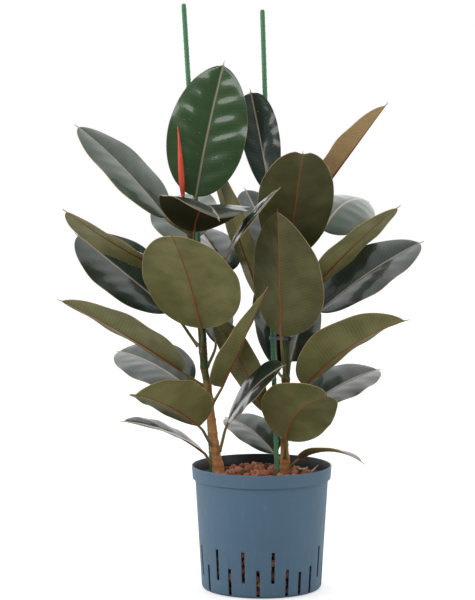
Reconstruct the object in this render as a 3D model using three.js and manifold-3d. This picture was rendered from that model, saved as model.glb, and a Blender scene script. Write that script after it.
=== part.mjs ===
// Rubber plant with two stems, growing in fired clay granulate in a slotted culture pot.
// Millimetres, +Z up. The origin is the centre of the pot's underside, and the front is -Y.

import * as THREE from "three";
import { mergeVertices } from "three/addons/utils/BufferGeometryUtils.js";
import Module from "manifold-3d";

const wasm = await Module();
wasm.setup();

// ---------------------------------------------------------------- driving dimensions

const POT_HEIGHT = 195;
const POT_RIM_RADIUS = 110; // outside of the rim band at the top edge
const POT_TAPER = 16; // how much narrower the wall is at the foot
const POT_WALL = 2.2;
const POT_FLOOR = 2.4;
const RIM_BAND_HEIGHT = 21;
const RIM_BAND_STEP = 4; // how far the band stands out from the wall below it
const RIM_BAND_FLARE = 1.5; // how much wider the band is at its top
const FOOT_ROUNDING = 6;
const SLOTS_PER_ROW = 13;
const SLOT_WIDTH = 5.2;
const FACETS_PER_SLOT = 4;

const SOIL_BELOW_RIM = 15; // the level from which the plant's heights count

// Sizes of the granulate's top and of the plant are those in a pot with this rim radius. With another rim
// they grow or shrink in step.
const PLANT_RIM_RADIUS = 110;
const GRANULATE_CROWN = 11; // how high the heap's middle stands above the soil level
const GRANULATE_FALL = 23; // how much lower the granulate lies against the wall
const PEBBLE_SIZE = 15;
const PEBBLE_RELIEF = 3;
const STAKE_RADIUS = 4;
const STAKE_FOOT_HEIGHT = 30; // how far above the pot's underside the stakes end
const STEM_DEPTH = 45; // length of a stem inside the granulate
const LEAF_THICKNESS = 1.2;
const PETIOLE_RADIUS = 2.3;
const PETIOLE_BEND = 0.35; // share of a petiole over which it bends at each end
const DRIP_TIP = 9; // length of the narrow point at the end of each blade
const DRIP_TIP_HALF_WIDTHS = [2.2, 0.7]; // where the point starts and where it ends
const TIE_BAND = 0.9;
const TIE_HEIGHT = 5;
const BUCKLE = { thickness: 3, width: 8, height: 7 };
const TIE_HEIGHTS = { left: 258, right: 215 };
const GAP = 0.3; // left between pieces that touch

// Heights on the plant count upward from here, so a taller pot lifts the whole plant.
const SOIL = POT_HEIGHT - SOIL_BELOW_RIM;
const GROWTH = POT_RIM_RADIUS / PLANT_RIM_RADIUS;
const STAKE_DEPTH = (SOIL - STAKE_FOOT_HEIGHT) / GROWTH; // length of a stake inside the granulate

// ---------------------------------------------------------------- materials

const material = (color, roughness) => new THREE.MeshStandardMaterial({ color, roughness });
const POT_PLASTIC = () => material("#425c70", 0.6);
const CLAY = () => material("#8f5a44", 0.95);
const BARK = () => material("#a8764a", 0.85);
const STAKE_COATING = () => material("#3f7a52", 0.7);
const TIE_PLASTIC = () => material("#7f8c96", 0.5);
const BUCKLE_PLASTIC = () => material("#2b3238", 0.5);
const SHEATH = () => material("#d9503c", 0.45);
const ROOT = () => material("#cdb890", 0.8);
const LEAF = () => material("#26332a", 0.3);

const plant = new THREE.Group();
plant.name = "potted_rubber_plant";

function addPart(name, geometry, finish) {
  const mesh = new THREE.Mesh(geometry, finish());
  mesh.name = name;
  plant.add(mesh);
}

/** Scales a piece of the plant about the middle of the soil, to suit the pot. */
function grown(geometry) {
  return geometry.translate(0, 0, -SOIL).scale(GROWTH, GROWTH, GROWTH).translate(0, 0, SOIL);
}

// ---------------------------------------------------------------- solids

const radians = THREE.MathUtils.degToRad;
const clamp01 = (t) => Math.min(1, Math.max(0, t));

/**
 * A closed solid through rings that all have the same number of points, ends capped flat.
 * Both halves of a ring are split along the same diagonals, so the two skins of a thin twisted blade can't cross.
 */
function loft(rings) {
  const sides = rings[0].length;
  const points = rings.flat();
  const triangles = [];
  for (let ring = 0; ring + 1 < rings.length; ring += 1) {
    for (let side = 0; side < sides; side += 1) {
      const next = (side + 1) % sides;
      const a = ring * sides + side;
      const b = ring * sides + next;
      const c = a + sides;
      const d = b + sides;
      if (side < sides / 2) triangles.push(a, b, d, a, d, c);
      else triangles.push(a, b, c, b, d, c);
    }
  }
  const last = (rings.length - 1) * sides;
  for (let side = 1; side + 1 < sides; side += 1) {
    triangles.push(0, side + 1, side);
    triangles.push(last, last + side, last + side + 1);
  }
  const geometry = new THREE.BufferGeometry().setFromPoints(points);
  geometry.setIndex(triangles);
  return geometry;
}

/** Round rings of the given radius around a path that climbs mostly upward. */
function roundRings(path, radiusAt, sides) {
  return path.map((centre, index) => {
    const before = path[Math.max(index - 1, 0)];
    const after = path[Math.min(index + 1, path.length - 1)];
    const along = after.clone().sub(before).normalize();
    const across = new THREE.Vector3(0, 1, 0).cross(along).normalize();
    const forward = along.clone().cross(across);
    const radius = radiusAt(index / (path.length - 1), centre);
    return Array.from({ length: sides }, (_, side) => {
      const angle = (2 * Math.PI * side) / sides;
      const offset = across.clone().multiplyScalar(Math.cos(angle) * radius);
      return centre.clone().add(offset).addScaledVector(forward, Math.sin(angle) * radius);
    });
  });
}

function toSolid(geometry) {
  const bare = geometry.clone();
  bare.deleteAttribute("normal");
  bare.deleteAttribute("uv");
  const merged = mergeVertices(bare, 1e-4);
  const vertProperties = new Float32Array(merged.attributes.position.array);
  const triVerts = new Uint32Array(merged.index.array);
  return new wasm.Manifold(new wasm.Mesh({ numProp: 3, vertProperties, triVerts }));
}

function fromSolid(solid) {
  const mesh = solid.getMesh();
  const geometry = new THREE.BufferGeometry();
  geometry.setAttribute("position", new THREE.BufferAttribute(new Float32Array(mesh.vertProperties), 3));
  geometry.setIndex(new THREE.BufferAttribute(new Uint32Array(mesh.triVerts), 1));
  return geometry;
}

const subtractAll = (geometry, cutters) =>
  fromSolid(cutters.reduce((solid, cutter) => solid.subtract(toSolid(cutter)), toSolid(geometry)));

// ---------------------------------------------------------------- culture pot

const BAND_FOOT = POT_HEIGHT - RIM_BAND_HEIGHT;
const BAND_FOOT_RADIUS = POT_RIM_RADIUS - RIM_BAND_FLARE;
const WALL_TOP_RADIUS = BAND_FOOT_RADIUS - RIM_BAND_STEP;
const WALL_FOOT_RADIUS = POT_RIM_RADIUS - POT_TAPER;
const FACETS = SLOTS_PER_ROW * FACETS_PER_SLOT;

/** Outside radius of the plain wall at a height, below the rim band. */
function wallRadius(z) {
  return THREE.MathUtils.lerp(WALL_FOOT_RADIUS, WALL_TOP_RADIUS, clamp01(z / BAND_FOOT));
}

function potProfile() {
  const foot = [];
  for (let step = 0; step <= 4; step += 1) {
    const angle = radians(22.5 * step);
    const r = wallRadius(FOOT_ROUNDING) - FOOT_ROUNDING * (1 - Math.sin(angle));
    foot.push(new THREE.Vector2(r, FOOT_ROUNDING * (1 - Math.cos(angle))));
  }
  const insideFoot = wallRadius(POT_FLOOR) - POT_WALL - FOOT_ROUNDING * 0.5;
  return [
    new THREE.Vector2(0, 0),
    ...foot,
    new THREE.Vector2(wallRadius(BAND_FOOT), BAND_FOOT),
    new THREE.Vector2(BAND_FOOT_RADIUS, BAND_FOOT),
    new THREE.Vector2(POT_RIM_RADIUS, POT_HEIGHT - 1),
    new THREE.Vector2(POT_RIM_RADIUS - 1, POT_HEIGHT),
    new THREE.Vector2(POT_RIM_RADIUS - POT_WALL, POT_HEIGHT),
    new THREE.Vector2(BAND_FOOT_RADIUS - POT_WALL, BAND_FOOT + POT_WALL),
    new THREE.Vector2(wallRadius(BAND_FOOT) - POT_WALL, BAND_FOOT - POT_WALL),
    new THREE.Vector2(wallRadius(FOOT_ROUNDING + POT_FLOOR) - POT_WALL, FOOT_ROUNDING + POT_FLOOR),
    new THREE.Vector2(insideFoot, POT_FLOOR),
    new THREE.Vector2(0, POT_FLOOR),
  ];
}

/** Turns a profile of radius and height about the Z axis. */
function turned(profile, segments) {
  const geometry = new THREE.LatheGeometry(profile, segments);
  geometry.rotateX(Math.PI / 2);
  return geometry;
}

/** A block that cuts one slot through the wall, turned to its place round the pot. */
function slotCutter(turnDegrees, bottom, top) {
  const depth = POT_WALL + CUTTER_REACH;
  const cutter = new THREE.BoxGeometry(SLOT_WIDTH, depth, top - bottom);
  cutter.translate(0, -(wallRadius((top + bottom) / 2) - POT_WALL / 2), (top + bottom) / 2);
  cutter.rotateZ(radians(turnDegrees));
  return cutter;
}

const SLOT_PITCH = 360 / SLOTS_PER_ROW;
const UPPER_SLOTS = { turn: 10, bottom: 24, top: 73 };
const LOWER_SLOTS = { turn: -3.8, bottom: 3, top: 45 };
const SHORT_UPPER_SLOT = 1; // this slot of the upper row lies low, beside the foot
const SHORT_SLOT_CUT = 6; // how much shorter it is than the slots of the lower row
const CUTTER_REACH = 6; // how much deeper a slot's cutter is than the wall

function potSlots() {
  const cutters = [];
  for (let index = 0; index < SLOTS_PER_ROW; index += 1) {
    const low = index === SHORT_UPPER_SLOT;
    const upperBottom = low ? LOWER_SLOTS.bottom : UPPER_SLOTS.bottom;
    const upperTop = low ? LOWER_SLOTS.top - SHORT_SLOT_CUT : UPPER_SLOTS.top;
    cutters.push(slotCutter(UPPER_SLOTS.turn + index * SLOT_PITCH, upperBottom, upperTop));
    cutters.push(slotCutter(LOWER_SLOTS.turn + index * SLOT_PITCH, LOWER_SLOTS.bottom, LOWER_SLOTS.top));
  }
  return cutters;
}

addPart("culture_pot", subtractAll(turned(potProfile(), FACETS), potSlots()), POT_PLASTIC);

// ---------------------------------------------------------------- stems and stakes

const STEM_TAPER_HEIGHT = 200; // above this height a stem stays as thin as its top
const STEM_FLARE = { extra: 2, height: 25 }; // how a stem widens where it leaves the granulate
const STEM_TIP = { height: 12, share: 0.35 }; // how it narrows at its tip
const STEM_STEPS = 24;

/** A stem: a smooth line through hand-set points [x, y, height above the granulate]. */
function makeStem(points, baseRadius, topRadius) {
  const curve = new THREE.CatmullRomCurve3(points.map(([x, y, up]) => new THREE.Vector3(x, y, SOIL + up)));
  const top = points[points.length - 1][2];
  const radiusAt = (up) => {
    const taper = THREE.MathUtils.lerp(baseRadius, topRadius, clamp01(up / STEM_TAPER_HEIGHT) ** 0.7);
    const flare = STEM_FLARE.extra * (1 - clamp01(up / STEM_FLARE.height));
    const tip = Math.sqrt(clamp01((top - up) / STEM_TIP.height));
    return (taper + flare) * Math.max(tip, STEM_TIP.share);
  };
  const samples = curve.getSpacedPoints(160);
  const pointAt = (up) => {
    const index = samples.findIndex((sample) => sample.z >= SOIL + up);
    const after = samples[Math.max(index, 1)];
    const before = samples[Math.max(index, 1) - 1];
    return before.clone().lerp(after, (SOIL + up - before.z) / (after.z - before.z));
  };
  return { top, radiusAt, pointAt };
}

const LEFT_STEM = makeStem(
  [
    [-66, 17, -STEM_DEPTH],
    [-68, 15, 0],
    [-75, 14, 50],
    [-85, 12, 137],
    [-91, 11, 172],
    [-95, 10, 230],
    [-106, 7, 340],
    [-123, 4, 437],
  ],
  8,
  5.4,
);
const RIGHT_STEM = makeStem(
  [
    [37, 2, -STEM_DEPTH],
    [37, 0, 0],
    [36, -2, 60],
    [38, -4, 165],
    [39, -5, 220],
    [36, -7, 320],
    [28, -9, 450],
  ],
  7,
  5,
);

/** The solid of a stem, or with a clearance round it the socket that it needs in the granulate. */
function stemGeometry(stem, clearance = 0) {
  const path = Array.from({ length: STEM_STEPS + 1 }, (_, step) =>
    stem.pointAt(THREE.MathUtils.lerp(-STEM_DEPTH + 1, stem.top - 0.1, step / STEM_STEPS)));
  return grown(loft(roundRings(path, (_, centre) => stem.radiusAt(centre.z - SOIL) + clearance, 10)));
}

addPart("stem_left", stemGeometry(LEFT_STEM), BARK);
addPart("stem_right", stemGeometry(RIGHT_STEM), BARK);

/** A stake: a straight rod with a blunt top, from inside the granulate to its top end. */
function makeStake([x, y], [topX, topY, topUp]) {
  const foot = new THREE.Vector3(x, y, SOIL);
  const top = new THREE.Vector3(topX, topY, SOIL + topUp);
  const pointAt = (up) => foot.clone().lerp(top, up / topUp);
  return { topUp, pointAt };
}

const LEFT_STAKE = makeStake([-78, 29], [-122, 39, 736]);
const RIGHT_STAKE = makeStake([24, -20], [1, 64, 727]);

/** The solid of a stake, or with a clearance round it the socket that it needs in the granulate. */
function stakeGeometry(stake, clearance = 0) {
  const heights = [-STAKE_DEPTH - clearance, stake.topUp - 3, stake.topUp - 1, stake.topUp];
  const path = heights.map((up) => stake.pointAt(up));
  const radii = [1, 1, 0.8, 0.45].map((part) => part * (STAKE_RADIUS + clearance));
  return grown(loft(roundRings(path, (t) => radii[Math.round(t * 3)], 12)));
}

addPart("stake_left", stakeGeometry(LEFT_STAKE), STAKE_COATING);
addPart("stake_right", stakeGeometry(RIGHT_STAKE), STAKE_COATING);

// ---------------------------------------------------------------- clay granulate

/** Height of the granulate: a heap with a bumpy top that falls away toward the wall. */
function granulateTop(x, y) {
  const r = Math.hypot(x, y) / PLANT_RIM_RADIUS;
  const bumps = Math.sin((2.1 * Math.PI * x) / PEBBLE_SIZE) * Math.cos((1.7 * Math.PI * y) / PEBBLE_SIZE);
  return SOIL + GRANULATE_CROWN - GRANULATE_FALL * r ** 3 + PEBBLE_RELIEF * 0.5 * bumps;
}

function granulateGeometry() {
  const edge = SOIL + (GRANULATE_CROWN - GRANULATE_FALL) * GROWTH;
  const ring = (radius, height) => Array.from({ length: FACETS }, (_, index) => {
    const angle = (2 * Math.PI * index) / FACETS + Math.PI / 2;
    const x = radius * Math.cos(angle);
    const y = radius * Math.sin(angle);
    return new THREE.Vector3(x, y, height ?? SOIL + (granulateTop(x / GROWTH, y / GROWTH) - SOIL) * GROWTH);
  });
  const footTop = FOOT_ROUNDING + POT_FLOOR + GAP;
  const wallGap = POT_WALL + 2 * GAP;
  const rim = wallRadius(edge) - wallGap;
  return loft([
    ring(wallRadius(POT_FLOOR) - wallGap - FOOT_ROUNDING * 0.5, POT_FLOOR + GAP),
    ring(wallRadius(footTop) - wallGap, footTop),
    ring(rim, edge),
    ...[0.92, 0.78, 0.64, 0.5, 0.36, 0.22, 0.08].map((share) => ring(rim * share)),
  ]);
}

const sockets = [
  stemGeometry(LEFT_STEM, GAP),
  stemGeometry(RIGHT_STEM, GAP),
  stakeGeometry(LEFT_STAKE, GAP),
  stakeGeometry(RIGHT_STAKE, GAP),
];
addPart("clay_granulate", subtractAll(granulateGeometry(), sockets), CLAY);

// ---------------------------------------------------------------- ties

/** Points of a belt round two circles that lie a distance apart along +X. */
function beltPoints(distance, nearRadius, farRadius) {
  const meet = Math.acos((nearRadius - farRadius) / distance);
  const arc = (centreX, radius, from, to) => Array.from({ length: 9 }, (_, step) => {
    const angle = THREE.MathUtils.lerp(from, to, step / 8);
    return new THREE.Vector2(centreX + radius * Math.cos(angle), radius * Math.sin(angle));
  });
  return [...arc(distance, farRadius, -meet, meet), ...arc(0, nearRadius, meet, 2 * Math.PI - meet)];
}

/** A strap round a stake and its stem, with a buckle on the outside of the stem. */
function addTie(side, stem, stake) {
  const up = TIE_HEIGHTS[side];
  const stemAt = stem.pointAt(up);
  const stakeAt = stake.pointAt(up);
  const across = stemAt.clone().sub(stakeAt);
  const distance = Math.hypot(across.x, across.y);
  const slack = 2 * GAP;
  const stakeHold = STAKE_RADIUS + slack;
  const stemHold = stem.radiusAt(up) + slack;
  const belt = new THREE.Shape(beltPoints(distance, stakeHold + TIE_BAND, stemHold + TIE_BAND));
  belt.holes.push(new THREE.Path(beltPoints(distance, stakeHold, stemHold)));
  const strap = new THREE.ExtrudeGeometry(belt, { depth: TIE_HEIGHT, bevelEnabled: false, curveSegments: 8 });
  strap.translate(0, 0, -TIE_HEIGHT / 2);
  const buckle = new THREE.BoxGeometry(BUCKLE.thickness, BUCKLE.width, BUCKLE.height);
  buckle.translate(distance + stemHold + TIE_BAND + GAP + BUCKLE.thickness / 2, 0, 0);
  const place = (geometry) => geometry.rotateZ(Math.atan2(across.y, across.x))
    .translate(stakeAt.x, stakeAt.y, stakeAt.z);
  addPart(`tie_strap_${side}`, grown(place(strap)), TIE_PLASTIC);
  addPart(`tie_buckle_${side}`, grown(place(buckle)), BUCKLE_PLASTIC);
}

addTie("left", LEFT_STEM, LEFT_STAKE);
addTie("right", RIGHT_STEM, RIGHT_STAKE);

// ---------------------------------------------------------------- leaf sheath and roots

/** A tapered round rod along a smooth line through the given points. */
function rodGeometry(points, radii, steps) {
  const path = new THREE.CatmullRomCurve3(points).getPoints(steps);
  const radiusAt = (t) => {
    const place = t * (radii.length - 1);
    const index = Math.min(Math.floor(place), radii.length - 2);
    return THREE.MathUtils.lerp(radii[index], radii[index + 1], place - index);
  };
  return loft(roundRings(path, radiusAt, 8));
}

// The newest leaf is still rolled up in its sheath, on the tip of the left stem.
const leftTip = LEFT_STEM.pointAt(LEFT_STEM.top - 0.1);
const sheathLine = [[0, 0, GAP + 0.2], [-3, 0, 38], [-5, 0, 74], [-8, 0, 109]].map(([x, y, z]) =>
  leftTip.clone().add(new THREE.Vector3(x, y, z)));
addPart("leaf_sheath", grown(rodGeometry(sheathLine, [3, 4.8, 4.6, 4, 2.8, 1.6, 0.4], 9)), SHEATH);

// Three pale roots stand out of the granulate beside the right stem.
const rootLine = (points) =>
  points.map(([x, y, above]) => new THREE.Vector3(x, y, granulateTop(x, y) + above));
const arch = rootLine([[50, 8, 3.5], [54, 9, 9], [60, 10, 16]]);
const branch = rootLine([[58, -13, 3.5], [66, -14, 5], [72, -14, 9]]);
const twig = rootLine([[79, -7, 3.5], [84, -5, 9], [89, -4, 16]]);
addPart("root_arch", grown(rodGeometry(arch, [1.5, 1.3, 0.8], 6)), ROOT);
addPart("root_branch", grown(rodGeometry(branch, [1.7, 1.5, 0.9], 6)), ROOT);
addPart("root_twig", grown(rodGeometry(twig, [1.2, 1.1, 0.6], 6)), ROOT);

// ---------------------------------------------------------------- leaves

/** Unit vector for a compass angle (0 = +X, 90 = +Y) and a rise above the horizontal, in degrees. */
function direction(azimuth, rise) {
  const a = radians(azimuth);
  const r = radians(rise);
  return new THREE.Vector3(Math.cos(r) * Math.cos(a), Math.cos(r) * Math.sin(a), Math.sin(r));
}

const OUTLINE_BASE = 0.52; // how pointed a blade starts, unless its size says otherwise
const OUTLINE_END = 0.6; // how pointed it ends

/** Share of the full width at station s (0 to 1) of a blade. */
function outline(s, base = OUTLINE_BASE, end = OUTLINE_END) {
  const peak = base / (base + end);
  return (s / peak) ** base * ((1 - s) / (1 - peak)) ** end;
}

const BLADE_STATIONS = [0.012, 0.06, 0.15, 0.28, 0.42, 0.56, 0.7, 0.83, 0.93, 0.985];
const BLADE_STEPS = 60; // steps in which the midrib is followed from one station to the next

/** Frame of a blade at station s: along the midrib, across to the left, and up through the upper side. */
function bladeFrame(leaf, s) {
  const [droop, sweep, ease = 1] = leaf.bend;
  const azimuth = leaf.aim[0] + sweep * s;
  const rise = leaf.aim[1] - droop * s ** ease;
  const roll = radians(leaf.turn[0] + leaf.turn[1] * s);
  const along = direction(azimuth, rise);
  const level = direction(azimuth + 90, 0);
  const upright = direction(azimuth, rise + 90);
  const up = upright.clone().multiplyScalar(Math.cos(roll)).addScaledVector(level, Math.sin(roll));
  const across = level.clone().multiplyScalar(Math.cos(roll)).addScaledVector(upright, -Math.sin(roll));
  return { along, across, up };
}

/** Eight points round a blade at one station: a shallow V of two thin halves with a rib below. */
function bladeRing(leaf, centre, frame, half, thickness) {
  const fold = radians(leaf.fold);
  const at = (side, lift) => centre.clone()
    .addScaledVector(frame.across, side * half * Math.cos(fold))
    .addScaledVector(frame.up, Math.abs(side) * half * Math.sin(fold) + lift);
  const skin = thickness / 2;
  return [
    at(1, 0), at(0.5, skin), at(0, skin), at(-0.5, skin),
    at(-1, 0), at(-0.5, -skin), at(0, -2 * skin), at(0.5, -skin),
  ];
}

/** Eight points round a petiole, in the same order as the points round a blade. */
function petioleRing(centre, along, up, radius) {
  const across = up.clone().cross(along).normalize();
  const top = along.clone().cross(across);
  return Array.from({ length: 8 }, (_, index) => {
    const angle = (index * Math.PI) / 4;
    return centre.clone()
      .addScaledVector(across, Math.cos(angle) * radius)
      .addScaledVector(top, Math.sin(angle) * radius);
  });
}

/** Rings of a petiole, from just outside the stem almost to the foot of the blade. */
function petioleRings(stem, leaf, foot) {
  const [, azimuth, rise] = leaf.petiole;
  const outward = direction(azimuth, rise);
  const clearance = GAP + 1.3 * PETIOLE_RADIUS * Math.sin(radians(Math.abs(rise)));
  const root = stem.pointAt(leaf.up).addScaledVector(direction(azimuth, 0), stem.radiusAt(leaf.up) + clearance);
  const start = bladeFrame(leaf, 0);
  const bend = root.distanceTo(foot) * PETIOLE_BEND;
  const line = new THREE.CubicBezierCurve3(
    root,
    root.clone().addScaledVector(outward, bend),
    foot.clone().addScaledVector(start.along, -bend),
    foot,
  );
  return [0, 0.3, 0.6, 0.9].map((t) =>
    petioleRing(line.getPoint(t), line.getTangent(t), start.up, PETIOLE_RADIUS * (1.15 - 0.3 * t)));
}

/** Rings of a blade, from its foot along the midrib to the end of its drip tip. */
function bladeRings(leaf, foot) {
  const [length, width, base, end] = leaf.size;
  const rings = [];
  const centre = foot.clone();
  let station = 0;
  for (let step = 0; step < BLADE_STEPS; step += 1) {
    const s = step / BLADE_STEPS;
    while (station < BLADE_STATIONS.length && BLADE_STATIONS[station] < s + 1 / BLADE_STEPS) {
      const exact = BLADE_STATIONS[station];
      const frame = bladeFrame(leaf, exact);
      const at = centre.clone().addScaledVector(frame.along, (exact - s) * length);
      const half = (width / 2) * outline(exact, base, end);
      rings.push(bladeRing(leaf, at, frame, half, LEAF_THICKNESS * (1.3 - 0.5 * exact)));
      station += 1;
    }
    centre.addScaledVector(bladeFrame(leaf, s + 0.5 / BLADE_STEPS).along, length / BLADE_STEPS);
  }
  const tip = bladeFrame(leaf, 1);
  const tipRing = (share, half, thickness) =>
    bladeRing(leaf, centre.clone().addScaledVector(tip.along, DRIP_TIP * share), tip, half, thickness);
  rings.push(tipRing(0.2, DRIP_TIP_HALF_WIDTHS[0], LEAF_THICKNESS));
  rings.push(tipRing(1, DRIP_TIP_HALF_WIDTHS[1], LEAF_THICKNESS * 0.7));
  return rings;
}

/** One leaf: its petiole leaves the stem, bends into the blade, and the blade ends in a drip tip. */
function leafGeometry(stem, leaf) {
  const [length, azimuth, rise] = leaf.petiole;
  const foot = stem.pointAt(leaf.up).addScaledVector(direction(azimuth, rise), length);
  return grown(loft([...petioleRings(stem, leaf, foot), ...bladeRings(leaf, foot)]));
}

const leafSpec = (up, petiole, size, aim, bend, turn, fold) => ({ up, petiole, size, aim, bend, turn, fold });

// Each leaf, in millimetres and degrees: the height of its node above the granulate, its petiole [length, azimuth,
// rise], its blade [length, width, and where it isn't the usual one the shape of its base and of its end], the aim
// of the blade where it starts [azimuth, rise], the bend along it [droop, sweep, and how late the droop comes],
// the turn about it [roll, twist], and how far its halves fold up.
const LEFT_LEAVES = [
  leafSpec(418, [26, 25, 45], [208, 124], [25, 80], [6, 0], [-60, 0], 5),
  leafSpec(382, [43, -172, 31], [205, 106], [157, 50], [15, 0], [14, 0], 2),
  leafSpec(353, [42, 100, 12], [180, 110], [96, 31], [20, 0], [14, 0], 8),
  leafSpec(335, [57, -89, 58], [168, 138], [-75, 82], [108, 0, 0.55], [10, 0], 5),
  leafSpec(299, [95, -54, 33], [190, 60], [-76, 29], [-10, 30], [-66, 28], 3),
  leafSpec(275, [64, 31, 40], [155, 85], [110, 34], [20, 0], [-8, 0], 10),
  leafSpec(275, [72, -169, 41], [200, 95], [-146, 24], [-10, 0], [-6, 0], -8),
  leafSpec(201, [73, 174, 48], [207, 118], [150, 33], [0, 0], [30, 0], 10),
  leafSpec(192, [54, -92, 49], [225, 152, 0.42], [-105, 54], [20, 0], [0, 0], 6),
  leafSpec(168, [44, 44, 54], [168, 60], [92, 36], [20, 0], [-22, 0], 10),
  leafSpec(138, [48, -166, 31], [227, 106], [-160, 36], [10, 0], [-16, 0], 14),
  leafSpec(117, [46, 144, 20], [190, 100], [128, 22], [20, 0], [24, 0], 8),
  leafSpec(111, [42, -52, 43], [182, 70, 0.32, 0.9], [-44, 59], [0, 0], [-10, 0], 24),
  leafSpec(47, [45, -133, 42], [172, 110, 0.42], [-127, 33], [20, 0], [-25, 0], 28),
  leafSpec(35, [58, -44, 60], [162, 72], [-50, 50], [25, 0], [-54, 0], 5),
  leafSpec(14, [31, -168, 41], [145, 55], [-155, 38], [30, 0], [14, 0], 8),
];
const RIGHT_LEAVES = [
  leafSpec(431, [22, 150, 26], [166, 66, 0.6, 0.42], [119, 72], [6, 0], [26, 0], 24),
  leafSpec(408, [66, -10, 29], [187, 76], [-39, 48], [0, 0], [-4, 0], 25),
  leafSpec(353, [73, 22, 24], [185, 110], [64, 37], [50, 0], [-25, 0], -18),
  leafSpec(335, [26, -70, 22], [203, 117, 0.5, 0.5], [-82, 64], [20, 0], [6, 0], 8),
  leafSpec(306, [45, 104, 27], [176, 80], [112, 44], [10, 0], [8, 0], 10),
  leafSpec(275, [45, -21, 23], [202, 92], [-34, 46], [10, 0], [4, 0], 5),
  leafSpec(228, [61, 178, 50], [224, 95], [145, 66], [0, 0], [-55, 0], 5),
  leafSpec(228, [58, 6, 29], [207, 118], [26, 37], [15, 0], [-20, 0], 8),
  leafSpec(152, [81, -101, 60], [232, 136, 0.42, 0.85], [-94, 70], [20, 0], [22, 0], 28),
  leafSpec(149, [36, 113, 26], [190, 90], [94, 51], [10, 0], [-30, 0], 8),
  leafSpec(141, [44, 72, 53], [155, 66], [73, 46], [20, 0], [-38, 0], 10),
  leafSpec(117, [42, -26, 36], [207, 115], [-30, 48], [30, 0], [20, 0], 24),
  leafSpec(85, [36, 172, 22], [167, 62, 0.7], [172, 69], [14, 0], [-60, 0], 5),
  leafSpec(70, [48, 17, 45], [158, 104], [38, 28], [20, 0], [-14, 0], 8),
  leafSpec(28, [43, -88, 45], [140, 116, 0.42, 0.42], [-80, 58], [44, 42], [34, 0], 10),
  leafSpec(22, [24, 139, 21], [140, 68], [124, 32], [30, 0], [16, 0], 10),
  leafSpec(12, [28, -27, 30], [116, 46], [-32, 33], [60, 0], [12, 0], 8),
];

function addLeaves(stem, side, leaves) {
  leaves.forEach((leaf, index) => {
    addPart(`leaf_${side}_${String(index + 1).padStart(2, "0")}`, leafGeometry(stem, leaf), LEAF);
  });
}

addLeaves(LEFT_STEM, "left", LEFT_LEAVES);
addLeaves(RIGHT_STEM, "right", RIGHT_LEAVES);

export default plant;
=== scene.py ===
"""Looks of a potted rubber plant: two staked stems in fired clay granulate in a slotted culture pot."""
import logging
import math
import random
from contextlib import contextmanager
from dataclasses import dataclass, field
from enum import Enum
from typing import Callable, Iterator

import bpy
import numpy as np
from bpy.types import Material, Mesh, Node, NodeSocket, NodeTree, Object
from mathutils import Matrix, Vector


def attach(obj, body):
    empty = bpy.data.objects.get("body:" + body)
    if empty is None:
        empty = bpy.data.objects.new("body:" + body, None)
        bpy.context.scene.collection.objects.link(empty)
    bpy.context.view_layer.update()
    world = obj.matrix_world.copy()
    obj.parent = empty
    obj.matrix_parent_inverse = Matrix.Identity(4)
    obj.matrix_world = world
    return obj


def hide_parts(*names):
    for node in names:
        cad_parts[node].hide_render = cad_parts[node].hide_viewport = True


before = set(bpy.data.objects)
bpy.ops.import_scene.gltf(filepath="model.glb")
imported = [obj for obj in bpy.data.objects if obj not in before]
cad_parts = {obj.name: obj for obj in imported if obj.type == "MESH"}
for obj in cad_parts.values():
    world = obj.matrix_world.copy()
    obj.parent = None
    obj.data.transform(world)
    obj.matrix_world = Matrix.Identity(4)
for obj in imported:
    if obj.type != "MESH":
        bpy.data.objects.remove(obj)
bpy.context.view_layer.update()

LOG = logging.getLogger("potted_rubber_plant")
MM = 0.001  # sizes are in millimetres, and Blender works in metres
BODY = "root"
WHITE = (1.0, 1.0, 1.0, 1.0)

# ---------------------------------------------------------------- sizes shared by the sub-assemblies

SOIL = 180.0  # height of the granulate's heap, from which heights on the plant are counted
STEM_DEPTH = 45.0
STAKE_DEPTH = 150.0
STAKE_RADIUS = 4.0
PETIOLE_RADIUS = 2.3
DRIP_TIP = 9.0
GAP = 0.3
PEBBLE_SIZE = 15.0
GRANULATE_CROWN = 11.0
GRANULATE_FALL = 23.0


class Part(Enum):
    """The record's material slots."""

    POT = "pot_plastic"
    CLAY = "fired_clay"
    BARK = "bark"
    STAKE = "stake_coating"
    TIE = "tie_plastic"
    BUCKLE = "buckle_plastic"
    SHEATH = "sheath"
    ROOT = "root"
    LEAF = "leaf"


# ---------------------------------------------------------------- small helpers


def linear(hex_colour: str) -> tuple[float, float, float, float]:
    """Turns an sRGB hex colour into the linear colour that a shader takes.

    Args:
        hex_colour: a colour such as "#4a6078".

    Returns:
        Red, green, blue and alpha, each from 0 to 1.
    """
    parts = [int(hex_colour[i:i + 2], 16) / 255 for i in (1, 3, 5)]
    red, green, blue = (c / 12.92 if c <= 0.04045 else ((c + 0.055) / 1.055) ** 2.4 for c in parts)
    return red, green, blue, 1.0


def feed(node: Node, inputs: dict) -> None:
    """Sets and links a node's inputs.

    Args:
        node: the node to feed.
        inputs: for each input, by name or number, a value, a socket, or a node whose first output is meant.
    """
    for key, value in inputs.items():
        value = value.outputs[0] if isinstance(value, Node) else value
        if isinstance(value, NodeSocket):
            node.id_data.links.new(value, node.inputs[key])
        else:
            node.inputs[key].default_value = value


def add_node(tree: NodeTree, kind: str, inputs: dict | None = None, **settings: object) -> Node:
    """Adds a node with its settings and links.

    Args:
        tree: the node tree.
        kind: the node's type name, without its ShaderNode prefix.
        inputs: what feeds it.
        **settings: properties to set on the node.

    Returns:
        The new node.
    """
    node = tree.nodes.new("ShaderNode" + kind)
    for name, value in settings.items():
        setattr(node, name, value)
    feed(node, inputs or {})
    return node


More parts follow.
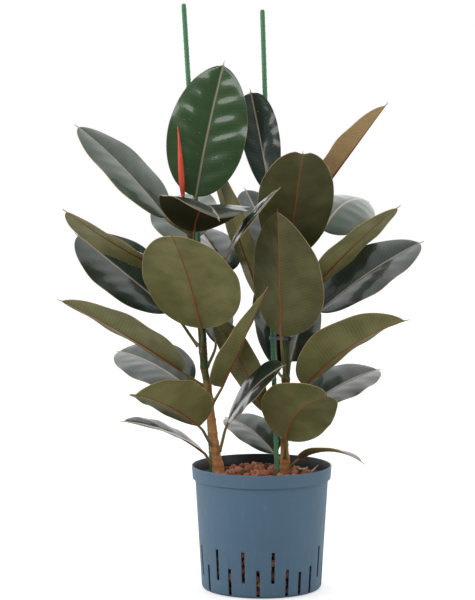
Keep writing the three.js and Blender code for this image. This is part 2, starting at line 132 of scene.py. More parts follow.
def lay_colour(tree: NodeTree, under: str | NodeSocket, over: str, pattern: Node | NodeSocket,
               span: tuple[float, float] = (0.0, 1.0), shares: tuple[float, float] = (0.0, 1.0)) -> NodeSocket:
    """Lays a colour over another one where a pattern is strong.

    Args:
        tree: the node tree.
        under: the colour that is there.
        over: the colour to lay on it.
        pattern: what says where.
        span: the two values of the pattern between which the cover changes.
        shares: how much is covered at those two values.

    Returns:
        The resulting colour.
    """
    share = add_node(tree, "MapRange", {
        "Value": pattern, "From Min": span[0], "From Max": span[1], "To Min": shares[0], "To Max": shares[1]})
    under = linear(under) if isinstance(under, str) else under
    return add_node(tree, "Mix", {0: share, 6: under, 7: linear(over)}, data_type="RGBA").outputs[2]


def take(*pieces: Object) -> None:
    """Selects just these pieces, if any, and makes the first one active.

    Args:
        *pieces: the pieces to select.
    """
    bpy.ops.object.select_all(action="DESELECT")
    for piece in pieces:
        piece.select_set(True)
    if pieces:
        bpy.context.view_layer.objects.active = pieces[0]


@contextmanager
def editing(piece: Object) -> Iterator[None]:
    """Opens a piece in edit mode with all of it selected, and closes it again.

    Args:
        piece: the piece to edit.

    Yields:
        Nothing, while the piece is open.
    """
    take(piece)
    bpy.ops.object.mode_set(mode="EDIT")
    bpy.ops.mesh.select_all(action="SELECT")
    yield
    bpy.ops.object.mode_set(mode="OBJECT")


def link_new(name: str, data: bpy.types.ID) -> Object:
    """Puts a new object into the scene.

    Args:
        name: its name.
        data: its mesh, light or camera.

    Returns:
        The object.
    """
    piece = bpy.data.objects.new(name, data)
    bpy.context.scene.collection.objects.link(piece)
    return piece


def apply_modifier(piece: Object, kind: str, **settings: object) -> None:
    """Adds a modifier to a piece and applies it.

    Args:
        piece: the mesh to change.
        kind: the modifier's type name.
        **settings: properties of the modifier.
    """
    take(piece)
    modifier = piece.modifiers.new(kind.lower(), kind)
    for name, value in settings.items():
        setattr(modifier, name, value)
    bpy.ops.object.modifier_apply(modifier=modifier.name)


def round_edges(piece: Object, width: float, angle: float, clamp: bool = True) -> None:
    """Rounds the sharp edges of a piece.

    Args:
        piece: the piece.
        width: the bevel's width in millimetres.
        angle: the angle in degrees from which an edge is sharp.
        clamp: whether the width shrinks to fit the shortest edge.
    """
    apply_modifier(piece, "BEVEL", width=width * MM, segments=2, limit_method="ANGLE",
                   angle_limit=math.radians(angle), use_clamp_overlap=clamp)


def settle(piece: Object) -> None:
    """Puts a piece's place, turn and size into its mesh, so that its object sits at the origin.

    Args:
        piece: the piece to settle.
    """
    take(piece)
    bpy.ops.object.transform_apply(location=True, rotation=True, scale=True)


def place_points(piece: Object, points: np.ndarray) -> None:
    """Moves all points of a mesh.

    Args:
        piece: the mesh to shape.
        points: the new places in millimetres, one row each.
    """
    piece.data.vertices.foreach_set("co", (points * MM).astype(np.float32).reshape(-1))
    piece.data.update()


def read_points(piece: Object) -> np.ndarray:
    """Reads all points of a mesh.

    Args:
        piece: the mesh to read.

    Returns:
        The places in millimetres, one row each.
    """
    points = np.zeros(len(piece.data.vertices) * 3, np.float32)
    piece.data.vertices.foreach_get("co", points)
    return points.reshape(-1, 3).astype(float) / MM


def add_attribute(piece: Object, name: str, values: np.ndarray) -> None:
    """Stores one number, or one vector, for each point of a mesh.

    Args:
        piece: the mesh that gets the attribute.
        name: the attribute's name, which materials read.
        values: an array with a row for each point.
    """
    kind, key = ("FLOAT", "value") if values.ndim == 1 else ("FLOAT_VECTOR", "vector")
    attribute = piece.data.attributes.new(name, kind, "POINT")
    attribute.data.foreach_set(key, values.astype(np.float32).reshape(-1))


def merge_doubles(piece: Object, distance: float = 0.001) -> None:
    """Merges points that lie together, and turns the faces outward.

    Args:
        piece: the mesh to clean.
        distance: how close merged points lie, in millimetres.
    """
    with editing(piece):
        bpy.ops.mesh.remove_doubles(threshold=distance * MM)
        bpy.ops.mesh.normals_make_consistent(inside=False)


def add_grid(name: str, points: np.ndarray, columns: int) -> Object:
    """Shapes a grid by placing each of its points.

    Args:
        name: the piece's name.
        points: the places in millimetres, row by row.
        columns: how many faces there are across a row.

    Returns:
        The grid.
    """
    take()
    rows = len(points) // (columns + 1) - 1
    bpy.ops.mesh.primitive_grid_add(x_subdivisions=columns, y_subdivisions=rows, size=1.0)
    piece = bpy.context.object
    piece.name = piece.data.name = name
    place_points(piece, points)
    return piece


def raise_rings(name: str, rings: list[tuple[float, float]], sides: int) -> Object:
    """Raises a round body from a circle, by extruding it and resizing it ring by ring.

    Args:
        name: the piece's name.
        rings: the radius and height of each ring.
        sides: faces round the body.

    Returns:
        The body.
    """
    take()
    bpy.ops.mesh.primitive_circle_add(vertices=sides, radius=rings[0][0] * MM, fill_type="NGON",
                                      location=(0, 0, rings[0][1] * MM))
    body = bpy.context.object
    settle(body)
    with editing(body):
        for (last_radius, last_height), (radius, height) in zip(rings, rings[1:]):
            bpy.ops.mesh.extrude_region_move(TRANSFORM_OT_translate={"value": (0, 0, (height - last_height) * MM)})
            scale = radius / last_radius
            bpy.ops.transform.resize(value=(scale, scale, 1.0), center_override=(0.0, 0.0, height * MM))
    body.name = body.data.name = name
    merge_doubles(body)
    return body


def join(name: str, pieces: list[Object]) -> Object:
    """Joins meshes into one piece.

    Args:
        name: the joined piece's name.
        pieces: the meshes, the first of which the others are joined to.

    Returns:
        The joined piece.
    """
    take(*pieces)
    bpy.ops.object.join()
    piece = bpy.context.object
    piece.name = piece.data.name = name
    return piece


def dress(piece: Object, *materials: Material) -> None:
    """Gives a piece its materials.

    Args:
        piece: the piece to dress.
        *materials: its materials, in slot order.
    """
    piece.data.materials.clear()
    for material in materials:
        piece.data.materials.append(material)


def hand_over(piece: Object, node: str, sharp: float = 0.0) -> None:
    """Shades a finished piece, and lets it ride on the frame and stand for its CAD node.

    Args:
        piece: the finished piece.
        node: the CAD node that it replaces.
        sharp: the angle in degrees from which an edge is sharp; 0 leaves the shading as it is.
    """
    settle(piece)
    if sharp:
        bpy.ops.object.shade_smooth_by_angle(angle=math.radians(sharp))
    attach(piece, BODY)
    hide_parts(node)
    LOG.info("%s: %d faces, stands for %s", piece.name, len(piece.data.polygons), node)


def sweep(name: str, path: np.ndarray, radii: np.ndarray, sides: int,
          relief: Callable[[np.ndarray, int], np.ndarray] | None = None) -> Object:
    """Makes a round rod along a path from a grid that is wrapped round it, with both ends closed.

    Args:
        name: the piece's name.
        path: points of the path in millimetres, one row each.
        radii: the radius at each point of the path.
        sides: faces round the rod.
        relief: gives the height of the surface detail from the turn (0 to 1) and the point's number.

    Returns:
        The rod.
    """
    along = np.gradient(path, axis=0)
    along /= np.linalg.norm(along, axis=1)[:, None]
    side = np.cross(along[0], (0.0, 1.0, 0.0) if abs(along[0][1]) < 0.9 else (1.0, 0.0, 0.0))
    turn = np.linspace(0.0, 1.0, sides + 1)
    angle = 2 * math.pi * turn
    rings = [np.tile(path[0], (sides + 1, 1))]
    for index, centre in enumerate(path):
        side = side - along[index] * np.dot(side, along[index])
        side /= np.linalg.norm(side)
        other = np.cross(along[index], side)
        reach = radii[index] + (relief(turn, index) if relief else np.zeros(sides + 1))
        rings.append(centre + np.outer(np.cos(angle) * reach, side) + np.outer(np.sin(angle) * reach, other))
    rings.append(np.tile(path[-1], (sides + 1, 1)))
    piece = add_grid(name, np.concatenate(rings), sides)
    merge_doubles(piece)
    return piece


def point_on(line: np.ndarray, far: float, places: np.ndarray) -> np.ndarray:
    """Finds a point on a line.

    Args:
        line: the line's points, one row each.
        far: the place of the wanted point.
        places: the place of each of the line's points.

    Returns:
        The point.
    """
    return np.array([np.interp(far, places, line[:, axis]) for axis in range(3)])


def smooth_line(points: list[tuple[float, float, float]], count: int) -> np.ndarray:
    """Lays a smooth line through points, as a centripetal Catmull-Rom curve with evenly spaced places.

    Args:
        points: the points to pass through, in millimetres.
        count: how many places to return.

    Returns:
        The places, one row each.
    """
    knots = np.array(points, float)
    ends = np.vstack([2 * knots[0] - knots[1], knots, 2 * knots[-1] - knots[-2]])
    places = []
    for index in range(len(knots) - 1):
        p0, p1, p2, p3 = ends[index:index + 4]
        steps = [0.0]
        for a, b in ((p0, p1), (p1, p2), (p2, p3)):
            steps.append(steps[-1] + np.linalg.norm(b - a) ** 0.5)
        t0, t1, t2, t3 = steps
        for t in np.linspace(t1, t2, 40, endpoint=index == len(knots) - 2):
            a1 = (t1 - t) / (t1 - t0) * p0 + (t - t0) / (t1 - t0) * p1
            a2 = (t2 - t) / (t2 - t1) * p1 + (t - t1) / (t2 - t1) * p2
            a3 = (t3 - t) / (t3 - t2) * p2 + (t - t2) / (t3 - t2) * p3
            b1 = (t2 - t) / (t2 - t0) * a1 + (t - t0) / (t2 - t0) * a2
            b2 = (t3 - t) / (t3 - t1) * a2 + (t - t1) / (t3 - t1) * a3
            places.append((t2 - t) / (t2 - t1) * b1 + (t - t1) / (t2 - t1) * b2)
    line = np.array(places)
    far = np.concatenate([[0.0], np.cumsum(np.linalg.norm(np.diff(line, axis=0), axis=1))])
    return np.array([point_on(line, place, far) for place in np.linspace(0.0, far[-1], count)])


def direction(azimuth: float, rise: float) -> np.ndarray:
    """Gives the unit vector that points somewhere.

    Args:
        azimuth: compass angle in degrees, with 0 at +X and 90 at +Y.
        rise: degrees above the horizontal.

    Returns:
        The unit vector.
    """
    a, r = math.radians(azimuth), math.radians(rise)
    return np.array([math.cos(r) * math.cos(a), math.cos(r) * math.sin(a), math.sin(r)])


# ---------------------------------------------------------------- finishes


@dataclass(frozen=True)
class Finish:
    """What every finish starts from: a name, a colour, a roughness and a refractive index."""

    name: str
    colour: str
    roughness: float
    ior: float = 1.5

    def start(self) -> tuple[Material, NodeTree, Node, NodeSocket]:
        """Makes the material with its shader.

        Returns:
            The material, its node tree, its Principled shader and its Object coordinates.
        """
        material = bpy.data.materials.new(self.name)
        material.use_nodes = True
        material.diffuse_color = linear(self.colour)
        tree = material.node_tree
        tree.nodes.clear()
        shader = add_node(tree, "BsdfPrincipled", {
            "Base Color": linear(self.colour), "Roughness": self.roughness, "IOR": self.ior})
        add_node(tree, "OutputMaterial", {"Surface": shader})
        return material, tree, shader, add_node(tree, "TexCoord").outputs["Object"]

    def uneven(self, tree: NodeTree, pattern: Node, less: float, more: float) -> Node:
        """Lets the roughness follow a pattern.

        Args:
            tree: the node tree.
            pattern: a noise.
            less: how far the roughness falls where the noise is low.
            more: how far it rises where the noise is high.

        Returns:
            The node that gives the roughness.
        """
        return add_node(tree, "MapRange", {
            "Value": pattern, "From Min": 0.3, "From Max": 0.7,
            "To Min": self.roughness - less, "To Max": self.roughness + more})


@dataclass(frozen=True)
class InjectionMouldedPolypropylene(Finish):
    """Blue-grey polypropylene from a mould: an even satin colour, faint flow marks and dust, and painted shade on the
    inner wall.
    """

    flow: str = "#496479"
    dust: str = "#8397a3"
    # painted shade: a near-black blue laid over the whole inner wall
    painted_inside_shade: str = "#161f23"
    flow_mm: float = 60.0
    dust_mm: float = 9.0
    grain_mm: float = 1.2

    def build(self) -> Material:
        """Makes the material. The attribute pot_inside is 1 on the inner wall, which gets painted shade.

        Returns:
            The material.
        """
        material, tree, shader, spot = self.start()
        inside = add_node(tree, "Attribute", attribute_name="pot_inside").outputs["Fac"]
        flow = add_node(tree, "TexNoise", {"Vector": spot, "Scale": 1 / (self.flow_mm * MM), "Detail": 2.0})
        drawn = add_node(tree, "Mapping", {"Vector": spot, "Scale": (1.0, 1.0, 0.3)})
        dust = add_node(tree, "TexNoise", {"Vector": drawn, "Scale": 1 / (self.dust_mm * MM), "Detail": 6.0})
        grain = add_node(tree, "TexNoise", {"Vector": spot, "Scale": 1 / (self.grain_mm * MM), "Detail": 2.0})
        colour = lay_colour(tree, self.colour, self.flow, flow, (0.35, 0.7), (0.0, 0.3))
        colour = lay_colour(tree, colour, self.dust, dust, (0.58, 0.8), (0.0, 0.16))
        # painted shade: the inner wall is covered with a near-black blue
        colour = lay_colour(tree, colour, self.painted_inside_shade, inside)
        relief = add_node(tree, "Bump", {"Height": grain, "Distance": 0.05 * MM, "Strength": 0.5})
        feed(shader, {"Base Color": colour, "Roughness": self.uneven(tree, dust, 0.05, 0.1), "Normal": relief})
        return material


@dataclass(frozen=True)
class FiredClay(Finish):
    """Expanded clay from a rotary kiln: a dry red-brown skin with pores, paler dust and darker burnt spots."""

    pale: str = "#c78b66"
    burnt_and_shade: str = "#3d241a"
    # also the core's painted shade
    patch: str = "#5f3826"
    pore_mm: float = 1.8
    patch_mm: float = 7.0

    def build(self) -> Material:
        """Makes the material. The attribute pebble_tint gives each pebble its own tone, and the core the darkest one
        as painted shade.

        Returns:
            The material.
        """
        material, tree, shader, spot = self.start()
        tint = add_node(tree, "Attribute", attribute_name="pebble_tint").outputs["Fac"]
        pores = add_node(tree, "TexNoise", {"Vector": spot, "Scale": 1 / (self.pore_mm * MM), "Detail": 4.0})
        patches = add_node(tree, "TexNoise", {"Vector": spot, "Scale": 1 / (self.patch_mm * MM), "Detail": 3.0})
        colour = lay_colour(tree, self.colour, self.pale, tint, (0.35, 1.0), (0.0, 0.8))
        colour = lay_colour(tree, colour, self.burnt_and_shade, tint, (0.0, 0.35), (0.85, 0.0))
        colour = lay_colour(tree, colour, self.patch, patches, (0.48, 0.68), (0.0, 0.5))
        colour = lay_colour(tree, colour, self.burnt_and_shade, pores, (0.55, 0.68), (0.0, 0.7))
        relief = add_node(tree, "Bump", {"Height": pores, "Distance": 0.9 * MM, "Strength": 0.8})
        feed(shader, {"Base Color": colour, "Normal": relief})
        return material


@dataclass(frozen=True)
class YoungBark(Finish):
    """Bark of a rubber plant: corky tan at the foot, green higher up, with pale lenticels and brown scar rings."""

    green: str = "#4f5a34"
    scar: str = "#a8683a"
    dark: str = "#6b4426"
    lenticel: str = "#b79a6a"
    patch_mm: float = 9.0
    fibre_mm: float = 1.5
    ragged_mm: float = 14.0

    def build(self) -> Material:
        """Makes the material. The attribute stem_place holds the height from where it greens, and the scars.

        Returns:
            The material.
        """
        material, tree, shader, spot = self.start()
        place = add_node(tree, "Attribute", attribute_name="stem_place").outputs["Vector"]
        height, scars, _ = add_node(tree, "SeparateXYZ", {0: place}).outputs
        patches = add_node(tree, "TexNoise", {"Vector": spot, "Scale": 1 / (self.patch_mm * MM), "Detail": 4.0})
        fibres = add_node(tree, "TexNoise", {"Vector": spot, "Scale": 1 / (self.fibre_mm * MM), "Detail": 4.0})
        ragged = add_node(tree, "MapRange", {
            "Value": patches, "From Min": 0.2, "From Max": 0.8, "To Min": -self.ragged_mm, "To Max": self.ragged_mm})
        greening = add_node(tree, "Math", {0: height, 1: ragged}, operation="ADD")
        colour = lay_colour(tree, self.colour, self.dark, fibres, (0.42, 0.68), (0.0, 0.7))
        colour = lay_colour(tree, colour, self.green, greening, (30.0, 72.0))
        colour = lay_colour(tree, colour, self.lenticel, fibres, (0.62, 0.72), (0.0, 0.45))
        colour = lay_colour(tree, colour, self.scar, scars)
        relief = add_node(tree, "Bump", {"Height": fibres, "Distance": 0.7 * MM, "Strength": 0.7})
        feed(shader, {"Base Color": colour, "Normal": relief})
        return material


@dataclass(frozen=True)
class CoatedSteel(Finish):
    """A steel tube in a moulded green coat: an even satin green, rubbed paler on its nubs."""

    rubbed: str = "#6c9c7c"
    patch_mm: float = 22.0

    def build(self) -> Material:
        """Makes the material. The attribute nub is 1 on top of a nub.

        Returns:
            The material.
        """
        material, tree, shader, spot = self.start()
        nub = add_node(tree, "Attribute", attribute_name="nub").outputs["Fac"]
        patches = add_node(tree, "TexNoise", {"Vector": spot, "Scale": 1 / (self.patch_mm * MM), "Detail": 4.0})
        wear = add_node(tree, "MapRange", {
            "Value": patches, "From Min": 0.3, "From Max": 0.7, "To Min": 0.25, "To Max": 0.8})
        worn = add_node(tree, "Math", {0: nub, 1: wear}, operation="MULTIPLY")
        feed(shader, {"Base Color": lay_colour(tree, self.colour, self.rubbed, worn),
                      "Roughness": self.uneven(tree, patches, 0.08, 0.12)})
        return material


@dataclass(frozen=True)
class MouldedStrap(Finish):
    """A soft polyethylene strap, or its hard nylon buckle: an even colour, rubbed paler, with a faint matt grain."""

    rubbed: str = "#7f8d97"
    patch_mm: float = 4.0
    grain_mm: float = 0.8

    def build(self) -> Material:
        """Makes the material.

        Returns:
            The material.
        """
        material, tree, shader, spot = self.start()
        patches = add_node(tree, "TexNoise", {"Vector": spot, "Scale": 1 / (self.patch_mm * MM), "Detail": 3.0})
        grain = add_node(tree, "TexNoise", {"Vector": spot, "Scale": 1 / (self.grain_mm * MM), "Detail": 2.0})
        relief = add_node(tree, "Bump", {"Height": grain, "Distance": 0.1 * MM, "Strength": 0.5})
        colour = lay_colour(tree, self.colour, self.rubbed, patches, (0.4, 0.75), (0.0, 0.5))
        feed(shader, {"Base Color": colour, "Normal": relief})
        return material


@dataclass(frozen=True)
class SheathSkin(Finish):
    """The rolled sheath of the newest leaf: smooth, waxy coral red, deeper at its foot and streaked along it."""

    deep_and_shade: str = "#a83224"
    pale: str = "#f07858"
    streak_mm: float = 1.6
    deep_height: float = 45.0

    def build(self) -> Material:
        """Makes the material. The attribute stem_place holds the height above the sheath's foot.

        Returns:
            The material.
        """
        material, tree, shader, spot = self.start()
        place = add_node(tree, "Attribute", attribute_name="stem_place").outputs["Vector"]
        height = add_node(tree, "SeparateXYZ", {0: place})
        drawn = add_node(tree, "Mapping", {"Vector": spot, "Scale": (1.0, 1.0, 0.06)})
        streaks = add_node(tree, "TexNoise", {
            "Vector": drawn, "Scale": 1 / (self.streak_mm * MM), "Detail": 3.0})
        colour = lay_colour(tree, self.colour, self.deep_and_shade, height, (0.0, self.deep_height), (0.65, 0.0))
        colour = lay_colour(tree, colour, self.pale, streaks, (0.45, 0.7), (0.0, 0.6))
        relief = add_node(tree, "Bump", {"Height": streaks, "Distance": 0.25 * MM, "Strength": 0.5})
        feed(shader, {"Base Color": colour, "Normal": relief})
        return material


@dataclass(frozen=True)
class RootSkin(Finish):
    """A bare root in air: dry cream skin with brown patches and fine wrinkles."""

    brown: str = "#8a6844"
    patch_mm: float = 5.0
    wrinkle_mm: float = 1.0

    def build(self) -> Material:
        """Makes the material.

        Returns:
            The material.
        """
        material, tree, shader, spot = self.start()
        patches = add_node(tree, "TexNoise", {"Vector": spot, "Scale": 1 / (self.patch_mm * MM), "Detail": 4.0})
        wrinkles = add_node(tree, "TexNoise", {
            "Vector": spot, "Scale": 1 / (self.wrinkle_mm * MM), "Detail": 3.0})
        relief = add_node(tree, "Bump", {"Height": wrinkles, "Distance": 0.3 * MM, "Strength": 0.7})
        colour = lay_colour(tree, self.colour, self.brown, patches, (0.48, 0.7), (0.0, 0.8))
        feed(shader, {"Base Color": colour, "Normal": relief})
        return material


@dataclass(frozen=True)
class LeafLamina(Finish):
    """One face of a leathery leaf: mottled between its veins, with a rib, a thin paler margin that is partly painted
    highlight, and a waxy coat.

    The attribute leaf_place holds millimetres across and along the blade and the share of its half width.
    The attribute leaf_tone_and_shade holds how fresh the leaf's colour is (x) and how much painted shade darkens the
    whole leaf (y).
    """

    between: str = "#0a1812"
    vein: str = "#3a5344"
    rib: str = "#9a8b7b"
    margin: str = "#8f7a58"
    fresh: str = "#3f5c30"
    # painted shade: a near-black olive laid over a whole leaf that hangs in shade
    deep_and_shade: str = "#191807"
    dried_drop: str = "#c9d2cd"
    sheen: str = "#e2f0e8"
    vein_share: float = 0.35
    rib_width_mm: float = 1.5
    coat: float = 0.0
    coat_roughness: float = 0.25
    drops: float = 0.0
    vein_spacing_mm: float = 5.5
    vein_slope: float = 0.16
    vein_drift_mm: float = 2.5
    vein_relief_mm: float = 0.12
    patch_mm: float = 34.0
    drop_pitch_mm: float = 11.0

    def veins(self, tree: NodeTree, away: Node, along: NodeSocket, share: NodeSocket, spot: NodeSocket) -> Node:
        """Draws the lateral veins, which leave the rib steeply, a few millimetres apart, and climb to the tip.

        Args:
            tree: the node tree.
            away: millimetres from the rib.
            along: millimetres along the blade.
            share: share of the half width.
            spot: the Object coordinates.

        Returns:
            A node that gives 1 on a vein and 0 between two.
        """
        wander = add_node(tree, "TexNoise", {"Vector": spot, "Scale": 1 / (60 * MM), "Detail": 1.0})
        drift = add_node(tree, "MapRange", {
            "Value": wander, "To Min": -self.vein_drift_mm, "To Max": self.vein_drift_mm})
        curve = add_node(tree, "Math", {0: away, 1: 1.15}, operation="POWER")
        climb = add_node(tree, "Math", {0: curve, 1: self.vein_slope}, operation="MULTIPLY")
        level = add_node(tree, "Math", {0: along, 1: climb}, operation="SUBTRACT")
        height = add_node(tree, "Math", {0: level, 1: drift}, operation="ADD")
        turn = add_node(tree, "Math", {0: height, 1: 2 * math.pi / self.vein_spacing_mm}, operation="MULTIPLY")
        wave = add_node(tree, "Math", {0: turn}, operation="SINE")
        line = add_node(tree, "MapRange", {"Value": wave, "From Min": 0.72, "From Max": 1.0})
        fade = add_node(tree, "MapRange", {
            "Value": share, "From Min": 0.82, "From Max": 0.97, "To Min": 1.0, "To Max": 0.0})
        return add_node(tree, "Math", {0: line, 1: fade}, operation="MULTIPLY")

    def build(self) -> Material:
        """Makes the material.

        Returns:
            The material.
        """
        material, tree, shader, spot = self.start()
        place = add_node(tree, "Attribute", attribute_name="leaf_place").outputs["Vector"]
        across, along, share = add_node(tree, "SeparateXYZ", {0: place}).outputs
        tone = add_node(tree, "Attribute", attribute_name="leaf_tone_and_shade").outputs["Vector"]
        # the second value is the leaf's share of painted shade
        freshness, depth, _ = add_node(tree, "SeparateXYZ", {0: tone}).outputs
        away = add_node(tree, "Math", {0: across}, operation="ABSOLUTE")
        veins = self.veins(tree, away, along, share, spot)
        patches = add_node(tree, "TexNoise", {"Vector": spot, "Scale": 1 / (self.patch_mm * MM), "Detail": 4.0})
        drops = add_node(tree, "TexVoronoi", {"Vector": spot, "Scale": 1 / (self.drop_pitch_mm * MM)})

        colour = lay_colour(tree, self.colour, self.between, patches, (0.35, 0.68))
        colour = lay_colour(tree, colour, self.fresh, freshness)
        colour = lay_colour(tree, colour, self.vein, veins, shares=(0.0, self.vein_share))
        # painted shade: the whole leaf darkens by its share, for leaves that hang in shade
        colour = lay_colour(tree, colour, self.deep_and_shade, depth)
        rib_edge = (self.rib_width_mm * 0.7, self.rib_width_mm * 1.5)
        colour = lay_colour(tree, colour, self.rib, away, rib_edge, (0.9, 0.0))
        colour = lay_colour(tree, colour, self.dried_drop, drops, (0.03, 0.07), (self.drops, 0.0))
        # the thin pale band along the edge: partly the leaf's own edge colour, partly painted highlight on the edge
        colour = lay_colour(tree, colour, self.margin, share, (0.978, 0.994), (0.0, 0.7))
        relief = add_node(tree, "Bump", {
            "Height": veins, "Distance": self.vein_relief_mm * MM, "Strength": 0.5})
        feed(shader, {
            "Base Color": colour, "Roughness": self.uneven(tree, patches, 0.04, 0.08), "Normal": relief,
            "Specular Tint": linear(self.sheen), "Coat Weight": self.coat, "Coat Roughness": self.coat_roughness})
        return material


@dataclass(frozen=True)
class PetioleSkin(Finish):
    """Leaf stalk and the rib under the blade: smooth olive brown that turns red at the foot of the rib."""

    red: str = "#8f4429"
    olive: str = "#57592f"
    patch_mm: float = 12.0
    wrinkle_mm: float = 1.4

    def build(self) -> Material:
        """Makes the material. The attribute stalk_place is 1 where the rib is red.

        Returns:
            The material.
        """
        material, tree, shader, spot = self.start()
        place = add_node(tree, "Attribute", attribute_name="stalk_place").outputs["Fac"]
        patches = add_node(tree, "TexNoise", {"Vector": spot, "Scale": 1 / (self.patch_mm * MM), "Detail": 4.0})
        wrinkles = add_node(tree, "TexNoise", {
            "Vector": spot, "Scale": 1 / (self.wrinkle_mm * MM), "Detail": 3.0})
        colour = lay_colour(tree, self.colour, self.olive, patches, (0.4, 0.7), (0.0, 0.6))
        colour = lay_colour(tree, colour, self.red, place)
        relief = add_node(tree, "Bump", {"Height": wrinkles, "Distance": 0.15 * MM, "Strength": 0.5})
        feed(shader, {"Base Color": colour, "Normal": relief})
        return material


@dataclass(frozen=True)
class PaintedBoard(Finish):
    """A matt studio board that shows white, but throws little light up, with the unevenness of a rolled coat."""

    cloud: str = "#cccccc"
    cloud_mm: float = 400.0
    lit: float = 0.5

    def build(self) -> Material:
        """Makes the material.

        Returns:
            The material.
        """
        material, tree, shader, spot = self.start()
        clouds = add_node(tree, "TexNoise", {"Vector": spot, "Scale": 1 / (self.cloud_mm * MM), "Detail": 2.0})
        seen = add_node(tree, "LightPath").outputs["Is Camera Ray"]
        glow = add_node(tree, "Math", {0: seen, 1: self.lit}, operation="MULTIPLY")
        colour = lay_colour(tree, self.colour, self.cloud, clouds, (0.3, 0.7), (0.0, 0.5))
        feed(shader, {"Base Color": colour, "Emission Color": WHITE, "Emission Strength": glow})
        return material


# ---------------------------------------------------------------- culture pot


@dataclass
class CulturePot:
    """A thin-walled culture pot with a rim band and two staggered rows of drainage slots."""

    height: float = 195.0
    rim_radius: float = 110.0
    base_radius: float = 94.0
    wall: float = 2.2
    floor: float = 2.4
    band_height: float = 21.0
    band_step: float = 4.0
    rim_flare: float = 1.5
    chamfer: float = 0.6
    foot_rounding: float = 6.0
    underside_rise: float = 1.2
    slots_per_row: int = 13
    slot_width: float = 5.2
    slot_rounding: float = 0.7
    facets_per_slot: int = 16
    upper_turn: float = 10.0
    lower_turn: float = -3.8
    upper_span: tuple[float, float] = (24.0, 73.0)
    lower_span: tuple[float, float] = (3.0, 45.0)
    short_upper_slot: int = 1
    short_slot_cut: float = 6.0
    finish: InjectionMouldedPolypropylene = InjectionMouldedPolypropylene(
        "injection_moulded_polypropylene", "#4e6c82", 0.45, 1.49)

    def wall_radius(self, z: float) -> float:
        """Gives the outside radius of the plain wall.

        Args:
            z: height above the underside, in millimetres.

        Returns:
            The radius in millimetres.
        """
        share = min(max(z / (self.height - self.band_height), 0.0), 1.0)
        top = self.rim_radius - self.rim_flare - self.band_step
        return self.base_radius + (top - self.base_radius) * share

    def profile(self) -> list[tuple[float, float]]:
        """Lays out the pot's outline.

        Returns:
            The radius and height of each ring, from the middle of the underside round to the inner floor.
        """
        band_foot = self.height - self.band_height
        band_radius = self.rim_radius - self.rim_flare
        foot, bead, step = self.foot_rounding, self.wall / 2, self.chamfer
        rings = [(radius, self.underside_rise) for radius in (20.0, 60.0, self.base_radius - 14.0)]
        rings.append((self.base_radius - 11.0, 0.0))
        for angle in np.radians(np.arange(0, 91, 15)):
            rings.append((self.wall_radius(foot) - foot * (1 - math.sin(angle)), foot * (1 - math.cos(angle))))
        rings += [(self.wall_radius(z), z) for z in (40.0, 80.0, 120.0, band_foot - 3.0)]
        rings += [(self.wall_radius(band_foot), band_foot - step), (self.wall_radius(band_foot) + step, band_foot),
                  (band_radius - step, band_foot), (band_radius, band_foot + step),
                  (self.rim_radius - 0.3, self.height - 3.2), (self.rim_radius, self.height - 2.2)]
        for angle in np.radians(np.arange(0, 181, 45)):
            rings.append((self.rim_radius - bead + bead * math.cos(angle),
                          self.height - bead + bead * math.sin(angle)))
        rings += [(band_radius - self.wall, band_foot + self.wall),
                  (self.wall_radius(band_foot) - self.wall, band_foot - self.wall)]
        rings += [(self.wall_radius(z) - self.wall, z) for z in (120.0, 80.0, 40.0, foot + self.floor)]
        inner = self.wall_radius(self.floor) - self.wall - foot * 0.5
        return rings + [(inner, self.floor), (40.0, self.floor + 0.2)]

    def slot_cutter(self, turn: float, span: tuple[float, float]) -> Object:
        """Makes the block that cuts one slot, with rounded edges.

        Args:
            turn: degrees round the pot from the front.
            span: heights of the slot's two ends.

        Returns:
            The block, turned to its place.
        """
        middle = sum(span) / 2
        take()
        bpy.ops.mesh.primitive_cube_add(size=1.0, location=(0, -(self.wall_radius(middle) - self.wall / 2) * MM,
                                                            middle * MM))
        cutter = bpy.context.object
        cutter.scale = (self.slot_width * MM, (self.wall + 9.0) * MM, (span[1] - span[0]) * MM)
        settle(cutter)
        with editing(cutter):
            bpy.ops.mesh.bevel(offset=self.slot_rounding * MM, segments=2, affect="EDGES")
            bpy.ops.transform.rotate(value=-math.radians(turn), orient_axis="Z", center_override=(0.0, 0.0, 0.0))
        return cutter

    def cut_slots(self, pot: Object) -> None:
        """Cuts both rows of slots through the wall.

        Args:
            pot: the pot to cut.
        """
        short_span = (self.lower_span[0], self.lower_span[1] - self.short_slot_cut)
        cutters = []
        for index in range(self.slots_per_row):
            turn = index * 360 / self.slots_per_row
            upper_span = short_span if index == self.short_upper_slot else self.upper_span
            cutters.append(self.slot_cutter(self.upper_turn + turn, upper_span))
            cutters.append(self.slot_cutter(self.lower_turn + turn, self.lower_span))
        tool = join("slot_cutters", cutters)
        apply_modifier(pot, "BOOLEAN", object=tool, operation="DIFFERENCE", solver="EXACT")
        bpy.data.objects.remove(tool)

    def build(self) -> Object:
        """Builds and dresses the pot.

        Returns:
            The pot.
        """
        pot = raise_rings("culture_pot_shell", self.profile(), self.slots_per_row * self.facets_per_slot)
        self.cut_slots(pot)
        merge_doubles(pot, 0.01)
        round_edges(pot, 0.2, 50, clamp=False)
        points = read_points(pot)
        up = points[:, 2]
        band = np.clip((up - self.height + self.band_height) / self.band_height, 0, 1)
        wall = np.array([self.wall_radius(z) for z in up]) + (band > 0) * self.band_step + band * self.rim_flare
        # marks the inner wall, which the finish covers with painted shade, fading out at the top of the rim
        inside = (np.hypot(points[:, 0], points[:, 1]) < wall - 0.6 * self.wall) & (up > self.floor * 0.8)
        add_attribute(pot, "pot_inside", inside * np.clip((self.height - up) / 0.8, 0, 1))
        dress(pot, self.finish.build())
        hand_over(pot, "culture_pot", 30)
        return pot


# ---------------------------------------------------------------- clay granulate


